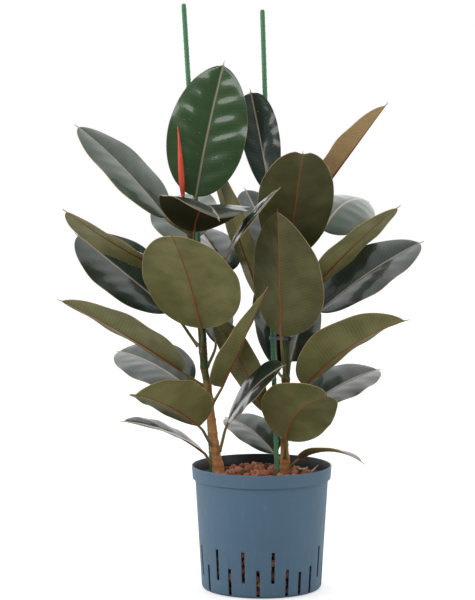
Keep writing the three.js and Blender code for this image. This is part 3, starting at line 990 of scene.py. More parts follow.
@dataclass
class ClayGranulate:
    """Fired clay pebbles: a heap on top, rows behind the slots, and a core that they lie on, coloured dark as painted
    shade in the gaps.
    """

    pot: CulturePot
    obstacles: list[tuple[float, float, float]]  # centre and radius of each stem and stake
    seed: int = 7
    shapes: int = 6
    smallest: float = 12.0
    largest: float = 16.5
    pitch: float = 15.0
    jitter: float = 2.2
    layer_drop: float = 9.5
    wall_rows: int = 7
    wall_row_height: float = 11.5
    wall_row_count: int = 41
    finish: FiredClay = FiredClay("fired_expanded_clay", "#9c5c40", 0.9, 1.5)
    models: list[Mesh] = field(default_factory=list)

    def top_at(self, x: float, y: float) -> float:
        """Gives the height of the heap's top.

        Args:
            x: millimetres to the right.
            y: millimetres to the back.

        Returns:
            The height above the pot's underside.
        """
        share = math.hypot(x, y) / self.pot.rim_radius
        bumps = math.sin(2.1 * math.pi * x / PEBBLE_SIZE) * math.cos(1.7 * math.pi * y / PEBBLE_SIZE)
        return SOIL + GRANULATE_CROWN - GRANULATE_FALL * share ** 3 + 1.5 * bumps

    def model_pebbles(self, rng: random.Random) -> None:
        """Models a few pebbles of different shape, about one unit across, which the heap repeats.

        Args:
            rng: the seeded source of shapes.
        """
        for number in range(self.shapes):
            take()
            bpy.ops.mesh.primitive_ico_sphere_add(subdivisions=2, radius=0.5)
            pebble = bpy.context.object
            with editing(pebble):
                bpy.ops.transform.resize(value=(1.0, rng.uniform(0.82, 1.0), rng.uniform(0.68, 0.9)))
                bpy.ops.transform.vertex_random(offset=0.045, uniform=1.0, normal=0.4, seed=self.seed + number)
            self.models.append(pebble.data)
            bpy.data.objects.remove(pebble)

    def heap_places(self, rng: random.Random) -> list[tuple[float, float, float, float]]:
        """Lays pebbles on top of the heap, in two layers that leave dark gaps.

        Args:
            rng: the seeded source of places and sizes.

        Returns:
            The centre and size of each pebble.
        """
        places = []
        reach = math.ceil(self.pot.rim_radius / self.pitch) + 2
        for layer in range(2):
            for row in range(-reach, reach + 1):
                for column in range(-reach, reach + 1):
                    x = (column + 0.5 * (row % 2) + 0.3 * layer) * self.pitch + rng.uniform(-self.jitter, self.jitter)
                    y = (row + 0.4 * layer) * self.pitch * 0.87 + rng.uniform(-self.jitter, self.jitter)
                    size = rng.uniform(self.smallest, self.largest)
                    z = self.top_at(x, y) - size * 0.36 - layer * self.layer_drop + rng.uniform(-3.0, 1.5)
                    room = self.pot.wall_radius(z) - self.pot.wall - size / 2 - GAP
                    clear = all(math.hypot(x - ox, y - oy) > r + size * 0.42 for ox, oy, r in self.obstacles)
                    if math.hypot(x, y) < room and clear:
                        places.append((x, y, z, size))
        return places

    def wall_places(self, rng: random.Random) -> list[tuple[float, float, float, float]]:
        """Lays pebbles against the wall, behind the slots.

        Args:
            rng: the seeded source of places and sizes.

        Returns:
            The centre and size of each pebble.
        """
        places = []
        for row in range(self.wall_rows):
            for index in range(self.wall_row_count):
                size = rng.uniform(self.smallest, self.largest - 1.5)
                z = max(9.0 + row * self.wall_row_height + rng.uniform(-2.5, 2.5), self.pot.floor + size / 2)
                share = (index + 0.5 * (row % 2) + rng.uniform(-0.15, 0.15)) / self.wall_row_count
                angle = 2 * math.pi * share
                reach = self.pot.wall_radius(z) - self.pot.wall - size / 2 - 0.4 - (3.0 if z < 12 else 0.0)
                places.append((reach * math.cos(angle), reach * math.sin(angle), z, size))
        return places

    def scatter(self, name: str, places: list[tuple[float, float, float, float]], rng: random.Random) -> Object:
        """Copies the modelled pebbles to their places and joins them.

        Args:
            name: the piece's name.
            places: centre and size of each pebble, in millimetres.
            rng: the seeded source of turns and tints.

        Returns:
            The joined pebbles, with a tint for each stored in the attribute pebble_tint.
        """
        pebbles = []
        for x, y, z, size in places:
            pebble = link_new("pebble", rng.choice(self.models).copy())
            pebble.rotation_euler = [rng.uniform(0, 2 * math.pi) for _ in range(3)]
            pebble.scale = [size * MM] * 3
            pebble.location = (x * MM, y * MM, z * MM)
            add_attribute(pebble, "pebble_tint", np.full(len(pebble.data.vertices), rng.random()))
            pebbles.append(pebble)
        heap = join(name, pebbles)
        settle(heap)
        bpy.ops.object.shade_smooth()
        return heap

    def core(self) -> Object:
        """Raises the body of granulate that the visible pebbles lie on, coloured dark as painted shade.

        Returns:
            The body.
        """
        inset = self.pot.wall + 11.0
        rings = [(self.pot.wall_radius(z) - inset, z) for z in (self.pot.floor + GAP, 60.0, 120.0, 158.0)]
        body = raise_rings("granulate_core", rings + [(78.0, 166.0), (52.0, 170.0), (20.0, 171.0)], 64)
        # painted shade: a tint of 0 gives the core the darkest, burnt colour all over, so the gaps between the
        # pebbles look shaded
        add_attribute(body, "pebble_tint", np.zeros(len(body.data.vertices)))
        return body

    def build(self) -> Object:
        """Builds and dresses the granulate.

        Returns:
            The granulate.
        """
        rng = random.Random(self.seed)
        self.model_pebbles(rng)
        heap = self.scatter("granulate_heap", self.heap_places(rng), rng)
        ring = self.scatter("granulate_ring", self.wall_places(rng), rng)
        granulate = join("clay_pebbles", [heap, ring, self.core()])
        dress(granulate, self.finish.build())
        hand_over(granulate, "clay_granulate")
        return granulate


# ---------------------------------------------------------------- stems, stakes and ties


@dataclass
class Stem:
    """A stem through given points [x, y, height above the granulate], with swollen nodes and scar rings."""

    side: str
    points: list[tuple[float, float, float]]
    base_radius: float
    top_radius: float
    node_heights: list[float]
    ring_heights: list[float]
    turns_green: float
    taper_height: float = 200.0
    flare: float = 2.0
    flare_height: float = 25.0
    tip_height: float = 12.0
    tip_share: float = 0.35
    line: np.ndarray = field(init=False)

    def __post_init__(self) -> None:
        """Lays the stem's centre line."""
        self.line = smooth_line([(x, y, SOIL + up) for x, y, up in self.points], 700)

    @property
    def top(self) -> float:
        """Height of the stem's tip above the granulate."""
        return self.points[-1][2]

    def radius_at(self, up: float) -> float:
        """Gives the stem's radius, as the CAD stem has it.

        Args:
            up: height above the granulate.

        Returns:
            The radius in millimetres.
        """
        share = min(max(up / self.taper_height, 0.0), 1.0)
        taper = self.base_radius + (self.top_radius - self.base_radius) * share ** 0.7
        flare = self.flare * max(0.0, 1 - max(up, 0.0) / self.flare_height)
        tip = min(max((self.top - up) / self.tip_height, 0.0), 1.0) ** 0.5
        return (taper + flare) * max(tip, self.tip_share)

    def point_at(self, up: float) -> np.ndarray:
        """Gives a point of the centre line.

        Args:
            up: height above the granulate.

        Returns:
            The point in millimetres.
        """
        return point_on(self.line, SOIL + up, self.line[:, 2])

    def build(self, finish: YoungBark) -> Object:
        """Builds and dresses the stem.

        Args:
            finish: the bark.

        Returns:
            The stem.
        """
        heights = np.linspace(-STEM_DEPTH + 1, self.top - 0.1, 260)
        path = np.array([self.point_at(up) for up in heights])
        nodes, rings = np.array(self.node_heights), np.array(self.ring_heights)
        swollen = 1.1 * np.exp(-((heights[:, None] - nodes) / 5.0) ** 2).sum(axis=1)
        ringed = 0.8 * np.exp(-((heights[:, None] - rings) / 1.6) ** 2).sum(axis=1)
        radii = 0.97 * np.array([self.radius_at(up) for up in heights]) + swollen + ringed

        def furrows(turn: np.ndarray, index: int) -> np.ndarray:
            """Gives shallow lengthwise furrows, deeper in the corky foot.

            Args:
                turn: places round the stem, from 0 to 1.
                index: the number of the ring.

            Returns:
                Millimetres to add.
            """
            up = heights[index]
            depth = 0.16 + 0.3 * np.clip(1 - up / 90, 0, 1)
            wide, narrow = 3 * turn - 0.017 * up, 5 * turn + 0.01 * up
            return depth * (np.sin(2 * math.pi * narrow) + np.sin(2 * math.pi * wide))

        stem = sweep(f"stem_{self.side}_bark", path, radii, 24, furrows)
        up = read_points(stem)[:, 2] - SOIL
        scars = np.concatenate([rings, nodes - 4.5])
        near = np.exp(-((up[:, None] - scars) / 1.5) ** 2).max(axis=1)
        add_attribute(stem, "stem_place", np.stack([up + 40.0 - self.turns_green, near * 0.8, up * 0], axis=1))
        dress(stem, finish.build())
        hand_over(stem, f"stem_{self.side}", 60)
        return stem


@dataclass
class Stake:
    """A straight coated stake with rows of small nubs and a rounded cap."""

    side: str
    foot: tuple[float, float]
    head: tuple[float, float, float]
    sides: int = 18
    nub_spacing: float = 6.0
    nub_height: float = 0.55
    coat_inset: float = 0.35
    cap: tuple = ((3.5, 3.7), (2.2, 3.5), (1.1, 3.0), (0.4, 2.3), (0.0, 1.2))  # depth below the top, and radius

    def point_at(self, up: float) -> np.ndarray:
        """Gives a point of the stake's centre line.

        Args:
            up: height above the granulate.

        Returns:
            The point in millimetres.
        """
        foot = np.array([*self.foot, SOIL])
        return foot + (np.array([*self.head[:2], SOIL + self.head[2]]) - foot) * up / self.head[2]

    def build(self, finish: CoatedSteel) -> Object:
        """Builds and dresses the stake.

        Args:
            finish: the green coat.

        Returns:
            The stake.
        """
        top = self.head[2]
        shaft = np.arange(-STAKE_DEPTH, top - 4.0, self.nub_spacing / 3)
        heights = np.concatenate([shaft, [top - down for down, _ in self.cap]])
        radii = np.concatenate([np.full(len(shaft), STAKE_RADIUS - self.coat_inset), [r for _, r in self.cap]])
        radii[0] = 2.4

        def nubs(turn: np.ndarray, index: int) -> np.ndarray:
            """Raises a nub on every third ring, staggered from row to row.

            Args:
                turn: places round the stake, from 0 to 1.
                index: the number of the ring.

            Returns:
                Millimetres to add.
            """
            row, between = divmod(index, 3)
            if between or index > len(shaft) - 2:
                return np.zeros(len(turn))
            step = np.rint(turn * self.sides).astype(int) % self.sides
            return np.where(step % 3 == row % 2, self.nub_height, 0.0)

        path = np.array([self.point_at(up) for up in heights])
        stake = sweep(f"stake_{self.side}_coated", path, radii, self.sides, nubs)
        points = read_points(stake)
        middle = np.array([self.point_at(up) for up in points[:, 2] - SOIL])
        away = np.linalg.norm((points - middle)[:, :2], axis=1)
        add_attribute(stake, "nub", np.clip((away - STAKE_RADIUS + 0.3) / self.nub_height, 0, 1))
        dress(stake, finish.build())
        hand_over(stake, f"stake_{self.side}", 50)
        return stake


@dataclass
class Tie:
    """The strap round a stake and its stem, and the buckle that holds it."""

    side: str
    panel_border: float = 0.8
    panel_depth: float = 0.5

    def copy_of(self, node: str, name: str) -> Object:
        """Copies a CAD node's mesh and merges its loose triangles.

        Args:
            node: the CAD node.
            name: the copy's name.

        Returns:
            The copy, ready to be finished.
        """
        piece = link_new(name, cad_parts[node].data.copy())
        merge_doubles(piece, 0.01)
        with editing(piece):
            bpy.ops.mesh.tris_convert_to_quads()
            bpy.ops.mesh.dissolve_limited(angle_limit=math.radians(2))
        return piece

    def build(self, strap_finish: MouldedStrap, buckle_finish: MouldedStrap) -> list[Object]:
        """Builds and dresses the strap and its buckle.

        Args:
            strap_finish: finish of the strap.
            buckle_finish: finish of the buckle.

        Returns:
            The strap and the buckle.
        """
        strap_node, buckle_node = f"tie_strap_{self.side}", f"tie_buckle_{self.side}"
        strap = self.copy_of(strap_node, f"strap_{self.side}_moulded")
        round_edges(strap, 0.25, 50)
        dress(strap, strap_finish.build())
        hand_over(strap, strap_node, 35)

        buckle = self.copy_of(buckle_node, f"buckle_{self.side}_moulded")
        with editing(buckle):
            bpy.ops.mesh.inset(thickness=self.panel_border * MM, depth=-self.panel_depth * MM, use_individual=True)
        round_edges(buckle, 0.35, 40)
        dress(buckle, buckle_finish.build())
        hand_over(buckle, buckle_node, 35)
        return [strap, buckle]


# ---------------------------------------------------------------- sheath and roots


@dataclass
class LeafSheath:
    """The rolled sheath of the newest leaf, on the tip of the left stem, with one turned edge along it."""

    stem: Stem
    offsets: tuple = ((0.0, 0.0, 0.5), (-3.0, 0.0, 38.0), (-5.0, 0.0, 74.0), (-8.0, 0.0, 109.0))
    radii: tuple = (3.0, 4.8, 4.6, 4.0, 2.8, 1.6, 0.4)
    steps: int = 90
    edge_height: float = 0.5
    finish: SheathSkin = SheathSkin("waxy_leaf_sheath", "#e5503c", 0.38, 1.45)

    def build(self) -> Object:
        """Builds and dresses the sheath.

        Returns:
            The sheath.
        """
        tip = self.stem.point_at(self.stem.top - 0.1)
        path = smooth_line([tuple(tip + np.array(offset)) for offset in self.offsets], self.steps)
        radii = np.interp(np.linspace(0, 1, self.steps), np.linspace(0, 1, len(self.radii)), self.radii)
        radii = np.convolve(np.pad(radii, 6, mode="edge"), np.ones(13) / 13, mode="valid")

        def rolled_edge(turn: np.ndarray, index: int) -> np.ndarray:
            """Raises the free edge of the rolled leaf, which winds slowly round the sheath.

            Args:
                turn: places round the sheath, from 0 to 1.
                index: the number of the ring.

            Returns:
                Millimetres to add.
            """
            past = (turn - 0.2 - 0.55 * index / self.steps) % 1.0
            height = self.edge_height * radii[index] / max(self.radii)
            return np.where(past < 0.3, height * (1 - past / 0.3), 0.0)

        sheath = sweep("leaf_sheath_rolled", path, radii, 28, rolled_edge)
        up = read_points(sheath)[:, 2] - tip[2]
        add_attribute(sheath, "stem_place", np.stack([up, up * 0, up * 0], axis=1))
        dress(sheath, self.finish.build())
        hand_over(sheath, "leaf_sheath", 60)
        return sheath


@dataclass
class AirRoot:
    """A pale root that arches over the granulate, through points [x, y, height above the heap]."""

    node: str
    points: list[tuple[float, float, float]]
    radii: tuple[float, ...]
    steps: int = 46

    def build(self, granulate: ClayGranulate, finish: RootSkin) -> Object:
        """Builds and dresses the root.

        Args:
            granulate: the heap that the root stands out of.
            finish: the root's skin.

        Returns:
            The root.
        """
        path = smooth_line([(x, y, granulate.top_at(x, y) + above) for x, y, above in self.points], self.steps)
        radii = np.interp(np.linspace(0, 1, self.steps), np.linspace(0, 1, len(self.radii)), self.radii)
        number = np.arange(self.steps)
        wrinkles = 0.14 * np.sin(number * 1.9) + 0.1 * np.sin(number * 0.77)
        root = sweep(f"{self.node}_bare", path, radii + wrinkles, 14)
        dress(root, finish.build())
        hand_over(root, self.node, 60)
        return root


# ---------------------------------------------------------------- leaves


@dataclass(frozen=True)
class LeafSpec:
    """Sizes of one leaf, in millimetres and degrees, as the CAD leaf has them.

    The size is length, width and, where given, how blunt the blade's foot and end are. The bend is how far the
    blade droops, how far it swings sideways and, where given, how late it droops.
    """

    up: float
    petiole: tuple[float, float, float]
    size: tuple[float, ...]
    aim: tuple[float, float]
    bend: tuple[float, ...]
    turn: tuple[float, float]
    fold: float
    tone: float = 0.0
    # share of painted shade laid over the whole leaf
    deep_and_shade: float = 0.0
    notch: float = 0.0
    quilt: float = 0.4


@dataclass
class Leaf:
    """One leaf: a leathery blade with a groove over its rib, a wavy margin and a drip tip, on its stalk."""

    name: str
    node: str
    stem: Stem
    spec: LeafSpec
    thickness: float = 1.0
    rows: int = 72
    margin_wave: float = 1.6
    puff: float = 0.045
    groove_depth: float = 0.45
    groove_width: float = 1.6
    quilt_pitch: float = 31.0
    tip_start: float = 0.94
    tip_half_width: float = 2.6
    rib_steps: int = 400
    rib_end: float = 0.93
    rib_radius: float = 1.3

    # shares of the half width at which the blade has its lengthwise lines, close together over the rib
    LINES = (0.0, 0.014, 0.032, 0.062, 0.11, 0.18, 0.27, 0.37, 0.48, 0.59, 0.7, 0.8, 0.88, 0.94, 0.98, 1.0)

    def outline(self, s: float) -> float:
        """Gives the blade's outline.

        Args:
            s: station along the blade, from 0 to 1.

        Returns:
            The share of the full width.
        """
        base, end = (*self.spec.size[2:], *(0.52, 0.6)[len(self.spec.size) - 2:])
        peak = base / (base + end)
        return (s / peak) ** base * ((1 - s) / (1 - peak)) ** end if 0 < s < 1 else 0.0

    def axes(self, s: float) -> tuple[np.ndarray, np.ndarray, np.ndarray]:
        """Gives the blade's own directions.

        Args:
            s: station along the blade, from 0 to 1.

        Returns:
            Along the rib, across to the left, and up through the upper side.
        """
        spec = self.spec
        power = spec.bend[2] if len(spec.bend) > 2 else 1.0
        azimuth = spec.aim[0] + spec.bend[1] * s
        rise = spec.aim[1] - spec.bend[0] * max(s, 0.0) ** power
        roll = math.radians(spec.turn[0] + spec.turn[1] * s)
        level = direction(azimuth + 90, 0)
        upright = direction(azimuth, rise + 90)
        up = upright * math.cos(roll) + level * math.sin(roll)
        across = level * math.cos(roll) - upright * math.sin(roll)
        return direction(azimuth, rise), across, up

    def foot(self) -> np.ndarray:
        """Returns the point where the stalk meets the blade."""
        length, azimuth, rise = self.spec.petiole
        return self.stem.point_at(self.spec.up) + direction(azimuth, rise) * length

    def rib_line(self) -> tuple[np.ndarray, np.ndarray]:
        """Follows the rib from the foot of the blade to the end of its drip tip.

        Returns:
            Evenly spaced points, one row each, and how far along the rib they are.
        """
        length = self.spec.size[0]
        steps = np.linspace(0, length + DRIP_TIP, self.rib_steps)
        points = [self.foot()]
        for before, after in zip(steps, steps[1:]):
            middle = min((before + after) / 2 / length, 1.0)
            points.append(points[-1] + self.axes(middle)[0] * (after - before))
        return np.array(points), steps

    def half_width(self, far: float) -> float:
        """Gives half the blade's width, which doesn't fall below that of its foot and its drip tip.

        Args:
            far: millimetres along the rib.

        Returns:
            Half the width in millimetres.
        """
        length, width = self.spec.size[:2]
        s = min(far / length, 1.0)
        start = self.tip_start * length
        tip = self.tip_half_width * max(0.0, 1 - max(far - start, 0.0) / (length + DRIP_TIP - start))
        return max(width / 2 * self.outline(s), tip if s > 0.5 else 1.3, 0.25)

    def blade(self, *faces: Material) -> Object:
        """Shapes a grid into the blade and gives it its thickness.

        Args:
            *faces: finishes of the upper side, the underside and the margin.

        Returns:
            The blade.
        """
        spec, length = self.spec, self.spec.size[0]
        total = length + DRIP_TIP
        rib, places_on_rib = self.rib_line()
        even = np.linspace(0, 1, self.rows + 1)
        lines = np.array([-line for line in reversed(self.LINES[1:])] + list(self.LINES))
        fold = math.radians(spec.fold)
        rng = random.Random(int(spec.up * 7 + length))
        waves = rng.uniform(2.2, 3.4), rng.uniform(2.2, 3.4)
        phases = rng.uniform(0, 6), rng.uniform(0, 6)
        points, places = [], []
        for far in total * (0.6 * (0.5 - 0.5 * np.cos(math.pi * even)) + 0.4 * even):
            s = min(far / length, 1.0)
            along, across, up = self.axes(s)
            tuck = max(0.0, (far - 0.95 * length) / (total - 0.95 * length)) ** 2 if spec.notch else 0.0
            centre = point_on(rib, far, places_on_rib) + (up * 7.0 - along * 8.0) * tuck
            lobe = spec.notch * min(max((s - 0.72) / 0.28, 0.0), 1.0) ** 2
            half = self.half_width(far)
            calm = math.sin(math.pi * s)
            for q in lines:
                side = abs(q)
                out = side * half
                which = int(q > 0)
                ripple = math.sin(2 * math.pi * waves[which] * s + phases[which])
                quilt = math.sin(2 * math.pi * (far - 0.5 * out) / self.quilt_pitch + phases[0])
                lift = half * math.sin(fold) * (math.sqrt(side ** 2 + 0.05 ** 2) - 0.05)
                lift += half * self.puff * math.sin(math.pi * side)
                lift -= self.groove_depth * math.exp(-(out / self.groove_width) ** 2)
                lift += self.margin_wave * ripple * calm * side ** 3 * half / 50
                lift += spec.quilt * quilt * math.sin(math.pi * min(side * 1.2, 1.0)) * calm
                ahead = lobe * (1 - math.exp(-(out / 7.0) ** 2))
                points.append(centre + across * q * half * math.cos(fold) + up * lift + along * ahead)
                places.append((q * half, far, side))
        blade = add_grid(f"{self.name}_blade", np.array(points), len(lines) - 1)
        add_attribute(blade, "leaf_place", np.array(places))
        # the second value is the leaf's share of painted shade
        add_attribute(blade, "leaf_tone_and_shade", np.tile([spec.tone, spec.deep_and_shade, 0.0], (len(points), 1)))
        self.face_up(blade)
        dress(blade, *faces)
        apply_modifier(blade, "SOLIDIFY", thickness=self.thickness * MM, offset=0.0, material_offset=1,
                       material_offset_rim=2)
        return blade

    def face_up(self, blade: Object) -> None:
        """Turns the blade's faces so that they look out through its upper side.

        Args:
            blade: the blade, still one face thick.
        """
        middle = blade.data.polygons[len(blade.data.polygons) // 2]
        if np.dot(np.array(middle.normal), self.axes(0.5)[2]) < 0:
            with editing(blade):
                bpy.ops.mesh.flip_normals()

    def stalk(self) -> Object:
        """Makes the stalk and the rib that carries on under the blade, in one tapering rod.

        Returns:
            The rod.
        """
        _, azimuth, rise = self.spec.petiole
        clearance = self.stem.radius_at(self.spec.up) + GAP
        clearance += 1.3 * PETIOLE_RADIUS * math.sin(math.radians(abs(rise)))
        root = self.stem.point_at(self.spec.up) + direction(azimuth, 0) * (clearance - 1.6)
        foot = self.foot()
        along, _, up = self.axes(0.0)
        reach = np.linalg.norm(foot - root)
        knots = root, root + direction(azimuth, rise) * reach * 0.35, foot - along * reach * 0.35, foot - up * 1.2
        t = np.linspace(0, 1, 26)[:, None]
        path = sum(count * (1 - t) ** (3 - k) * t ** k * knots[k] for k, count in enumerate((1, 3, 3, 1)))
        radii = PETIOLE_RADIUS * (1.15 - 0.3 * t[:, 0])
        radii[:4] += np.array([1.3, 0.8, 0.4, 0.1])

        rib, places_on_rib = self.rib_line()
        far = np.linspace(0.015, self.rib_end, 54)
        rib_radii = self.rib_radius * (1 - far) ** 1.1 + 0.25
        under = [point_on(rib, part * self.spec.size[0], places_on_rib)
                 - self.axes(part)[2] * (self.groove_depth + radius * 0.8) for part, radius in zip(far, rib_radii)]
        path = np.vstack([path, np.array(under)])
        stalk = sweep(f"{self.name}_stalk", path, np.concatenate([radii, rib_radii]), 12)
        points = read_points(stalk)
        nearest = np.argmin(np.linalg.norm(points[:, None, :] - path[None, :, :], axis=2), axis=1) - len(t)
        add_attribute(stalk, "stalk_place", np.clip((nearest + 6) / 12, 0, 1) * np.clip(1.15 - nearest / 80, 0, 1))
        return stalk

    def build(self, *finishes: Material) -> Object:
        """Builds the leaf and gives it its four finishes.

        Args:
            *finishes: finishes of the upper side, the underside, the margin, and the stalk with its rib.

        Returns:
            The leaf.
        """
        blade, stalk = self.blade(*finishes[:3]), self.stalk()
        dress(stalk, finishes[3])
        leaf = join(self.name, [blade, stalk])
        hand_over(leaf, self.node, 50)
        return leaf


@dataclass
class Foliage:
    """All leaves of one stem."""

    stem: Stem
    specs: list[LeafSpec]

    def build(self, finishes: tuple[Material, ...]) -> list[Object]:
        """Builds each leaf in order, from the top of the stem down.

        Args:
            finishes: finishes of the upper side, the underside, the margin and the stalk.

        Returns:
            The leaves.
        """
        side = self.stem.side
        return [Leaf(f"rubber_leaf_{side}_{index:02d}", f"leaf_{side}_{index:02d}", self.stem, spec).build(*finishes)
                for index, spec in enumerate(self.specs, start=1)]


# Where a leaf has a ninth value, it is its share of painted shade.
LEFT_LEAVES = [
    LeafSpec(418, (26, 25, 45), (208, 124), (25, 80), (6, 0), (-60, 0), 5, 0.65, quilt=1.05),
    LeafSpec(382, (43, -172, 31), (205, 106), (157, 50), (15, 0), (14, 0), 2, 0.25),
    LeafSpec(353, (42, 100, 12), (180, 110), (96, 31), (20, 0), (14, 0), 8, 0.3),
    LeafSpec(335, (57, -89, 58), (168, 138), (-75, 82), (108, 0, 0.55), (10, 0), 5, 0.1, 0.8),
    LeafSpec(299, (95, -54, 33), (190, 60), (-76, 29), (-10, 30), (-66, 28), 3),
    LeafSpec(275, (64, 31, 40), (155, 85), (110, 34), (20, 0), (-8, 0), 10),
    LeafSpec(275, (72, -169, 41), (200, 95), (-146, 24), (-10, 0), (-6, 0), -8),
    LeafSpec(201, (73, 174, 48), (207, 118), (150, 33), (0, 0), (30, 0), 10),
    LeafSpec(192, (54, -92, 49), (225, 152, 0.42), (-105, 54), (20, 0), (0, 0), 6),
    LeafSpec(168, (44, 44, 54), (168, 60), (92, 36), (20, 0), (-22, 0), 10),
    LeafSpec(138, (48, -166, 31), (227, 106), (-160, 36), (10, 0), (-16, 0), 14),
    LeafSpec(117, (46, 144, 20), (190, 100), (128, 22), (20, 0), (24, 0), 8),
    LeafSpec(111, (42, -52, 43), (182, 70, 0.32, 0.9), (-44, 59), (0, 0), (-10, 0), 24),
    LeafSpec(47, (45, -133, 42), (172, 110, 0.42), (-127, 33), (20, 0), (-25, 0), 28),
    LeafSpec(35, (58, -44, 60), (162, 72), (-50, 50), (25, 0), (-54, 0), 5),
    LeafSpec(14, (31, -168, 41), (145, 55), (-155, 38), (30, 0), (14, 0), 8),
]
# Where a leaf has a ninth value, it is its share of painted shade.
RIGHT_LEAVES = [
    LeafSpec(431, (22, 150, 26), (166, 66, 0.6, 0.42), (119, 72), (6, 0), (26, 0), 24),
    LeafSpec(408, (66, -10, 29), (187, 76), (-39, 48), (0, 0), (-4, 0), 25, 1.0),
    LeafSpec(353, (73, 22, 24), (185, 110), (64, 37), (50, 0), (-25, 0), -18, 0.25),
    LeafSpec(335, (26, -70, 22), (203, 117, 0.5, 0.5), (-82, 64), (20, 0), (6, 0), 8, 0.0, 0.55, 6),
    LeafSpec(306, (45, 104, 27), (176, 80), (112, 44), (10, 0), (8, 0), 10),
    LeafSpec(275, (45, -21, 23), (202, 92), (-34, 46), (10, 0), (4, 0), 5),
    LeafSpec(228, (61, 178, 50), (224, 95), (145, 66), (0, 0), (-55, 0), 5),
    LeafSpec(228, (58, 6, 29), (207, 118), (26, 37), (15, 0), (-20, 0), 8),
    LeafSpec(152, (81, -101, 60), (232, 136, 0.42, 0.85), (-94, 70), (20, 0), (22, 0), 28, 0.0, 0.4),
    LeafSpec(149, (36, 113, 26), (190, 90), (94, 51), (10, 0), (-30, 0), 8),
    LeafSpec(141, (44, 72, 53), (155, 66), (73, 46), (20, 0), (-38, 0), 10),
    LeafSpec(117, (42, -26, 36), (207, 115), (-30, 48), (30, 0), (20, 0), 24),
    LeafSpec(85, (36, 172, 22), (167, 62, 0.7), (172, 69), (14, 0), (-60, 0), 5),
    LeafSpec(70, (48, 17, 45), (158, 104), (38, 28), (20, 0), (-14, 0), 8),
    LeafSpec(28, (43, -88, 45), (140, 116, 0.42, 0.42), (-80, 58), (44, 42), (34, 0), 10, 0.0, 0.25, 9),
    LeafSpec(22, (24, 139, 21), (140, 68), (124, 32), (30, 0), (16, 0), 10),
    LeafSpec(12, (28, -27, 30), (116, 46), (-32, 33), (60, 0), (12, 0), 8),
]


# ---------------------------------------------------------------- studio


@dataclass
class Studio:
    """Camera, plain floor and soft light."""

    camera_place: tuple[float, float, float] = (-0.038, -4.0, 0.85)
    camera_pitch: float = 5.64
    lens_mm: float = 154.3
    floor_size: float = 12.0
    room_front: float = 0.1
    room_back: float = 1.55
    middle: Vector = field(default_factory=lambda: Vector((0.0, 0.0, 0.5)))
    board: PaintedBoard = PaintedBoard("matt_white_studio_board", "#c6c6c6", 0.9, 1.5)

    def add_camera(self) -> None:
        """Adds the camera."""
        data = bpy.data.cameras.new("studio_camera")
        data.lens = self.lens_mm
        data.sensor_width = 36.0
        camera = link_new("studio_camera", data)
        camera.location = self.camera_place
        camera.rotation_euler = (math.radians(90 - self.camera_pitch), 0.0, 0.0)
        bpy.context.scene.camera = camera

    def add_floor(self) -> None:
        """Adds the floor, just below the pot."""
        take()
        bpy.ops.mesh.primitive_grid_add(x_subdivisions=8, y_subdivisions=8, size=self.floor_size,
                                        location=(0, 0, -0.0005))
        floor = bpy.context.object
        floor.name = "studio_floor"
        dress(floor, self.board.build())

    def add_softbox(self, name: str, place: tuple[float, float, float], size: tuple[float, float],
                    watts: float) -> None:
        """Adds a rectangular soft light that looks at the middle of the plant.

        Args:
            name: the light's name.
            place: where it stands, in metres.
            size: its width and height in metres.
            watts: its power.
        """
        data = bpy.data.lights.new(name, "AREA")
        data.shape = "RECTANGLE"
        data.size, data.size_y = size
        data.energy = watts
        light = link_new(name, data)
        light.location = place
        light.rotation_euler = (self.middle - Vector(place)).to_track_quat("-Z", "Y").to_euler()

    def add_surround(self) -> None:
        """Adds white studio walls at the back and the sides, and a darker room in front of them."""
        world = bpy.data.worlds.new("studio_surround")
        world.use_nodes = True
        tree = world.node_tree
        tree.nodes.clear()
        toward = add_node(tree, "TexCoord").outputs["Generated"]
        depth = add_node(tree, "SeparateXYZ", {0: toward}).outputs[1]
        light = add_node(tree, "MapRange", {
            "Value": depth, "From Min": -0.75, "From Max": 0.3, "To Min": self.room_front, "To Max": self.room_back})
        seen = add_node(tree, "LightPath").outputs["Is Camera Ray"]
        strength = add_node(tree, "Mix", {0: seen, 2: light, 3: 1.0})
        background = add_node(tree, "Background", {"Color": WHITE, "Strength": strength})
        add_node(tree, "OutputWorld", {"Surface": background})
        bpy.context.scene.world = world

    def build(self) -> None:
        """Sets up the studio."""
        self.add_camera()
        self.add_floor()
        self.add_surround()
        self.add_softbox("softbox_strip", (-0.8, -2.7, 2.3), (2.6, 0.5), 34.0)
        self.add_softbox("softbox_left", (-2.6, -1.0, 1.4), (0.8, 1.4), 20.0)
        self.add_softbox("softbox_right", (2.4, -1.6, 0.9), (0.6, 1.2), 9.0)
        bpy.context.scene.view_settings.view_transform = "Standard"


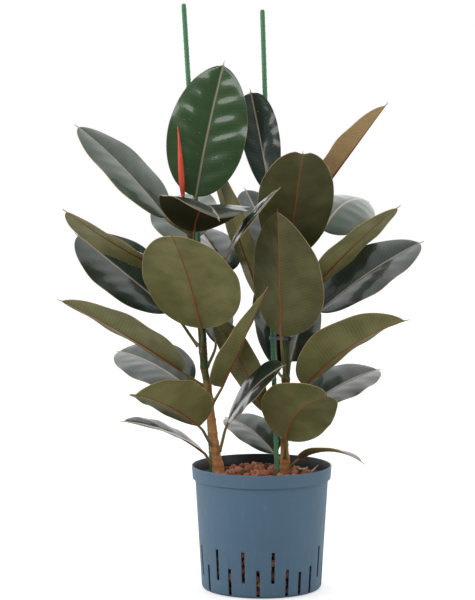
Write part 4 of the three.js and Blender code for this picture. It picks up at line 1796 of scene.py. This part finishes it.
def main() -> None:
    """Builds the plant from the pot up and logs each piece."""
    logging.basicConfig(level=logging.INFO, format="%(name)s: %(message)s")
    Studio().build()

    left = Stem("left", [(-66, 17, -45), (-68, 15, 0), (-75, 14, 50), (-85, 12, 137), (-91, 11, 172), (-95, 10, 230),
                         (-106, 7, 340), (-123, 4, 437)], 8, 5.4,
                [spec.up for spec in LEFT_LEAVES], [22.0, 62.0, 84.0], 125.0)
    right = Stem("right", [(37, 2, -45), (37, 0, 0), (36, -2, 60), (38, -4, 165), (39, -5, 220), (36, -7, 320),
                           (28, -9, 450)], 7, 5, [spec.up for spec in RIGHT_LEAVES], [19.0, 46.0], 40.0)
    stakes = Stake("left", (-78, 29), (-122, 39, 736)), Stake("right", (24, -20), (1, 64, 727))

    pot = CulturePot()
    pot.build()
    obstacles = [(*stem.points[1][:2], stem.radius_at(0.0) + 0.5) for stem in (left, right)]
    obstacles += [(*stake.foot, STAKE_RADIUS + 0.6) for stake in stakes]
    granulate = ClayGranulate(pot, obstacles)
    granulate.build()

    bark = YoungBark("young_rubber_plant_bark", "#c88e58", 0.75, 1.45)
    for stem in (left, right):
        stem.build(bark)
    coating = CoatedSteel("coated_steel_tube", "#3f7a52", 0.5, 1.5)
    for stake in stakes:
        stake.build(coating)
    strap = MouldedStrap("soft_polyethylene_strap", "#56646e", 0.5, 1.51)
    buckle = MouldedStrap("moulded_nylon_buckle", "#20262b", 0.45, 1.53, rubbed="#3d464d")
    for side in ("left", "right"):
        Tie(side).build(strap, buckle)

    LeafSheath(left).build()
    root_skin = RootSkin("dry_air_root", "#d6c29a", 0.75, 1.45)
    for root in (AirRoot("root_arch", [(50, 8, 3.5), (54, 9, 9), (60, 10, 16)], (1.5, 1.3, 0.8)),
                 AirRoot("root_branch", [(58, -13, 3.5), (66, -14, 5), (72, -14, 9)], (1.7, 1.5, 0.9)),
                 AirRoot("root_twig", [(79, -7, 3.5), (84, -5, 9), (89, -4, 16)], (1.2, 1.1, 0.6))):
        root.build(granulate, root_skin)

    finishes = (
        LeafLamina("waxy_upper_side", "#14261d", 0.32, 1.4, coat=0.45, coat_roughness=0.1, vein_share=0.25,
                   drops=0.5).build(),
        LeafLamina("matt_underside", "#7b784b", 0.5, 1.45, between="#646237", vein="#948e55", rib="#7d5030",
                   margin="#b3976a", fresh="#b08f62", rib_width_mm=1.0).build(),
        # the rim faces are pale all over: partly the leaf's own edge colour, partly painted highlight on the edge
        LeafLamina("leaf_margin", "#a98a5c", 0.5, 1.45, between="#8f7648", vein="#a98a5c", rib="#a98a5c",
                   margin="#b08a60", fresh="#9a9060", vein_share=0.0).build(),
        PetioleSkin("leaf_stalk_skin", "#7d6f45", 0.45, 1.45).build(),
    )
    Foliage(left, LEFT_LEAVES).build(finishes)
    Foliage(right, RIGHT_LEAVES).build(finishes)


if __name__ == "__main__":
    main()
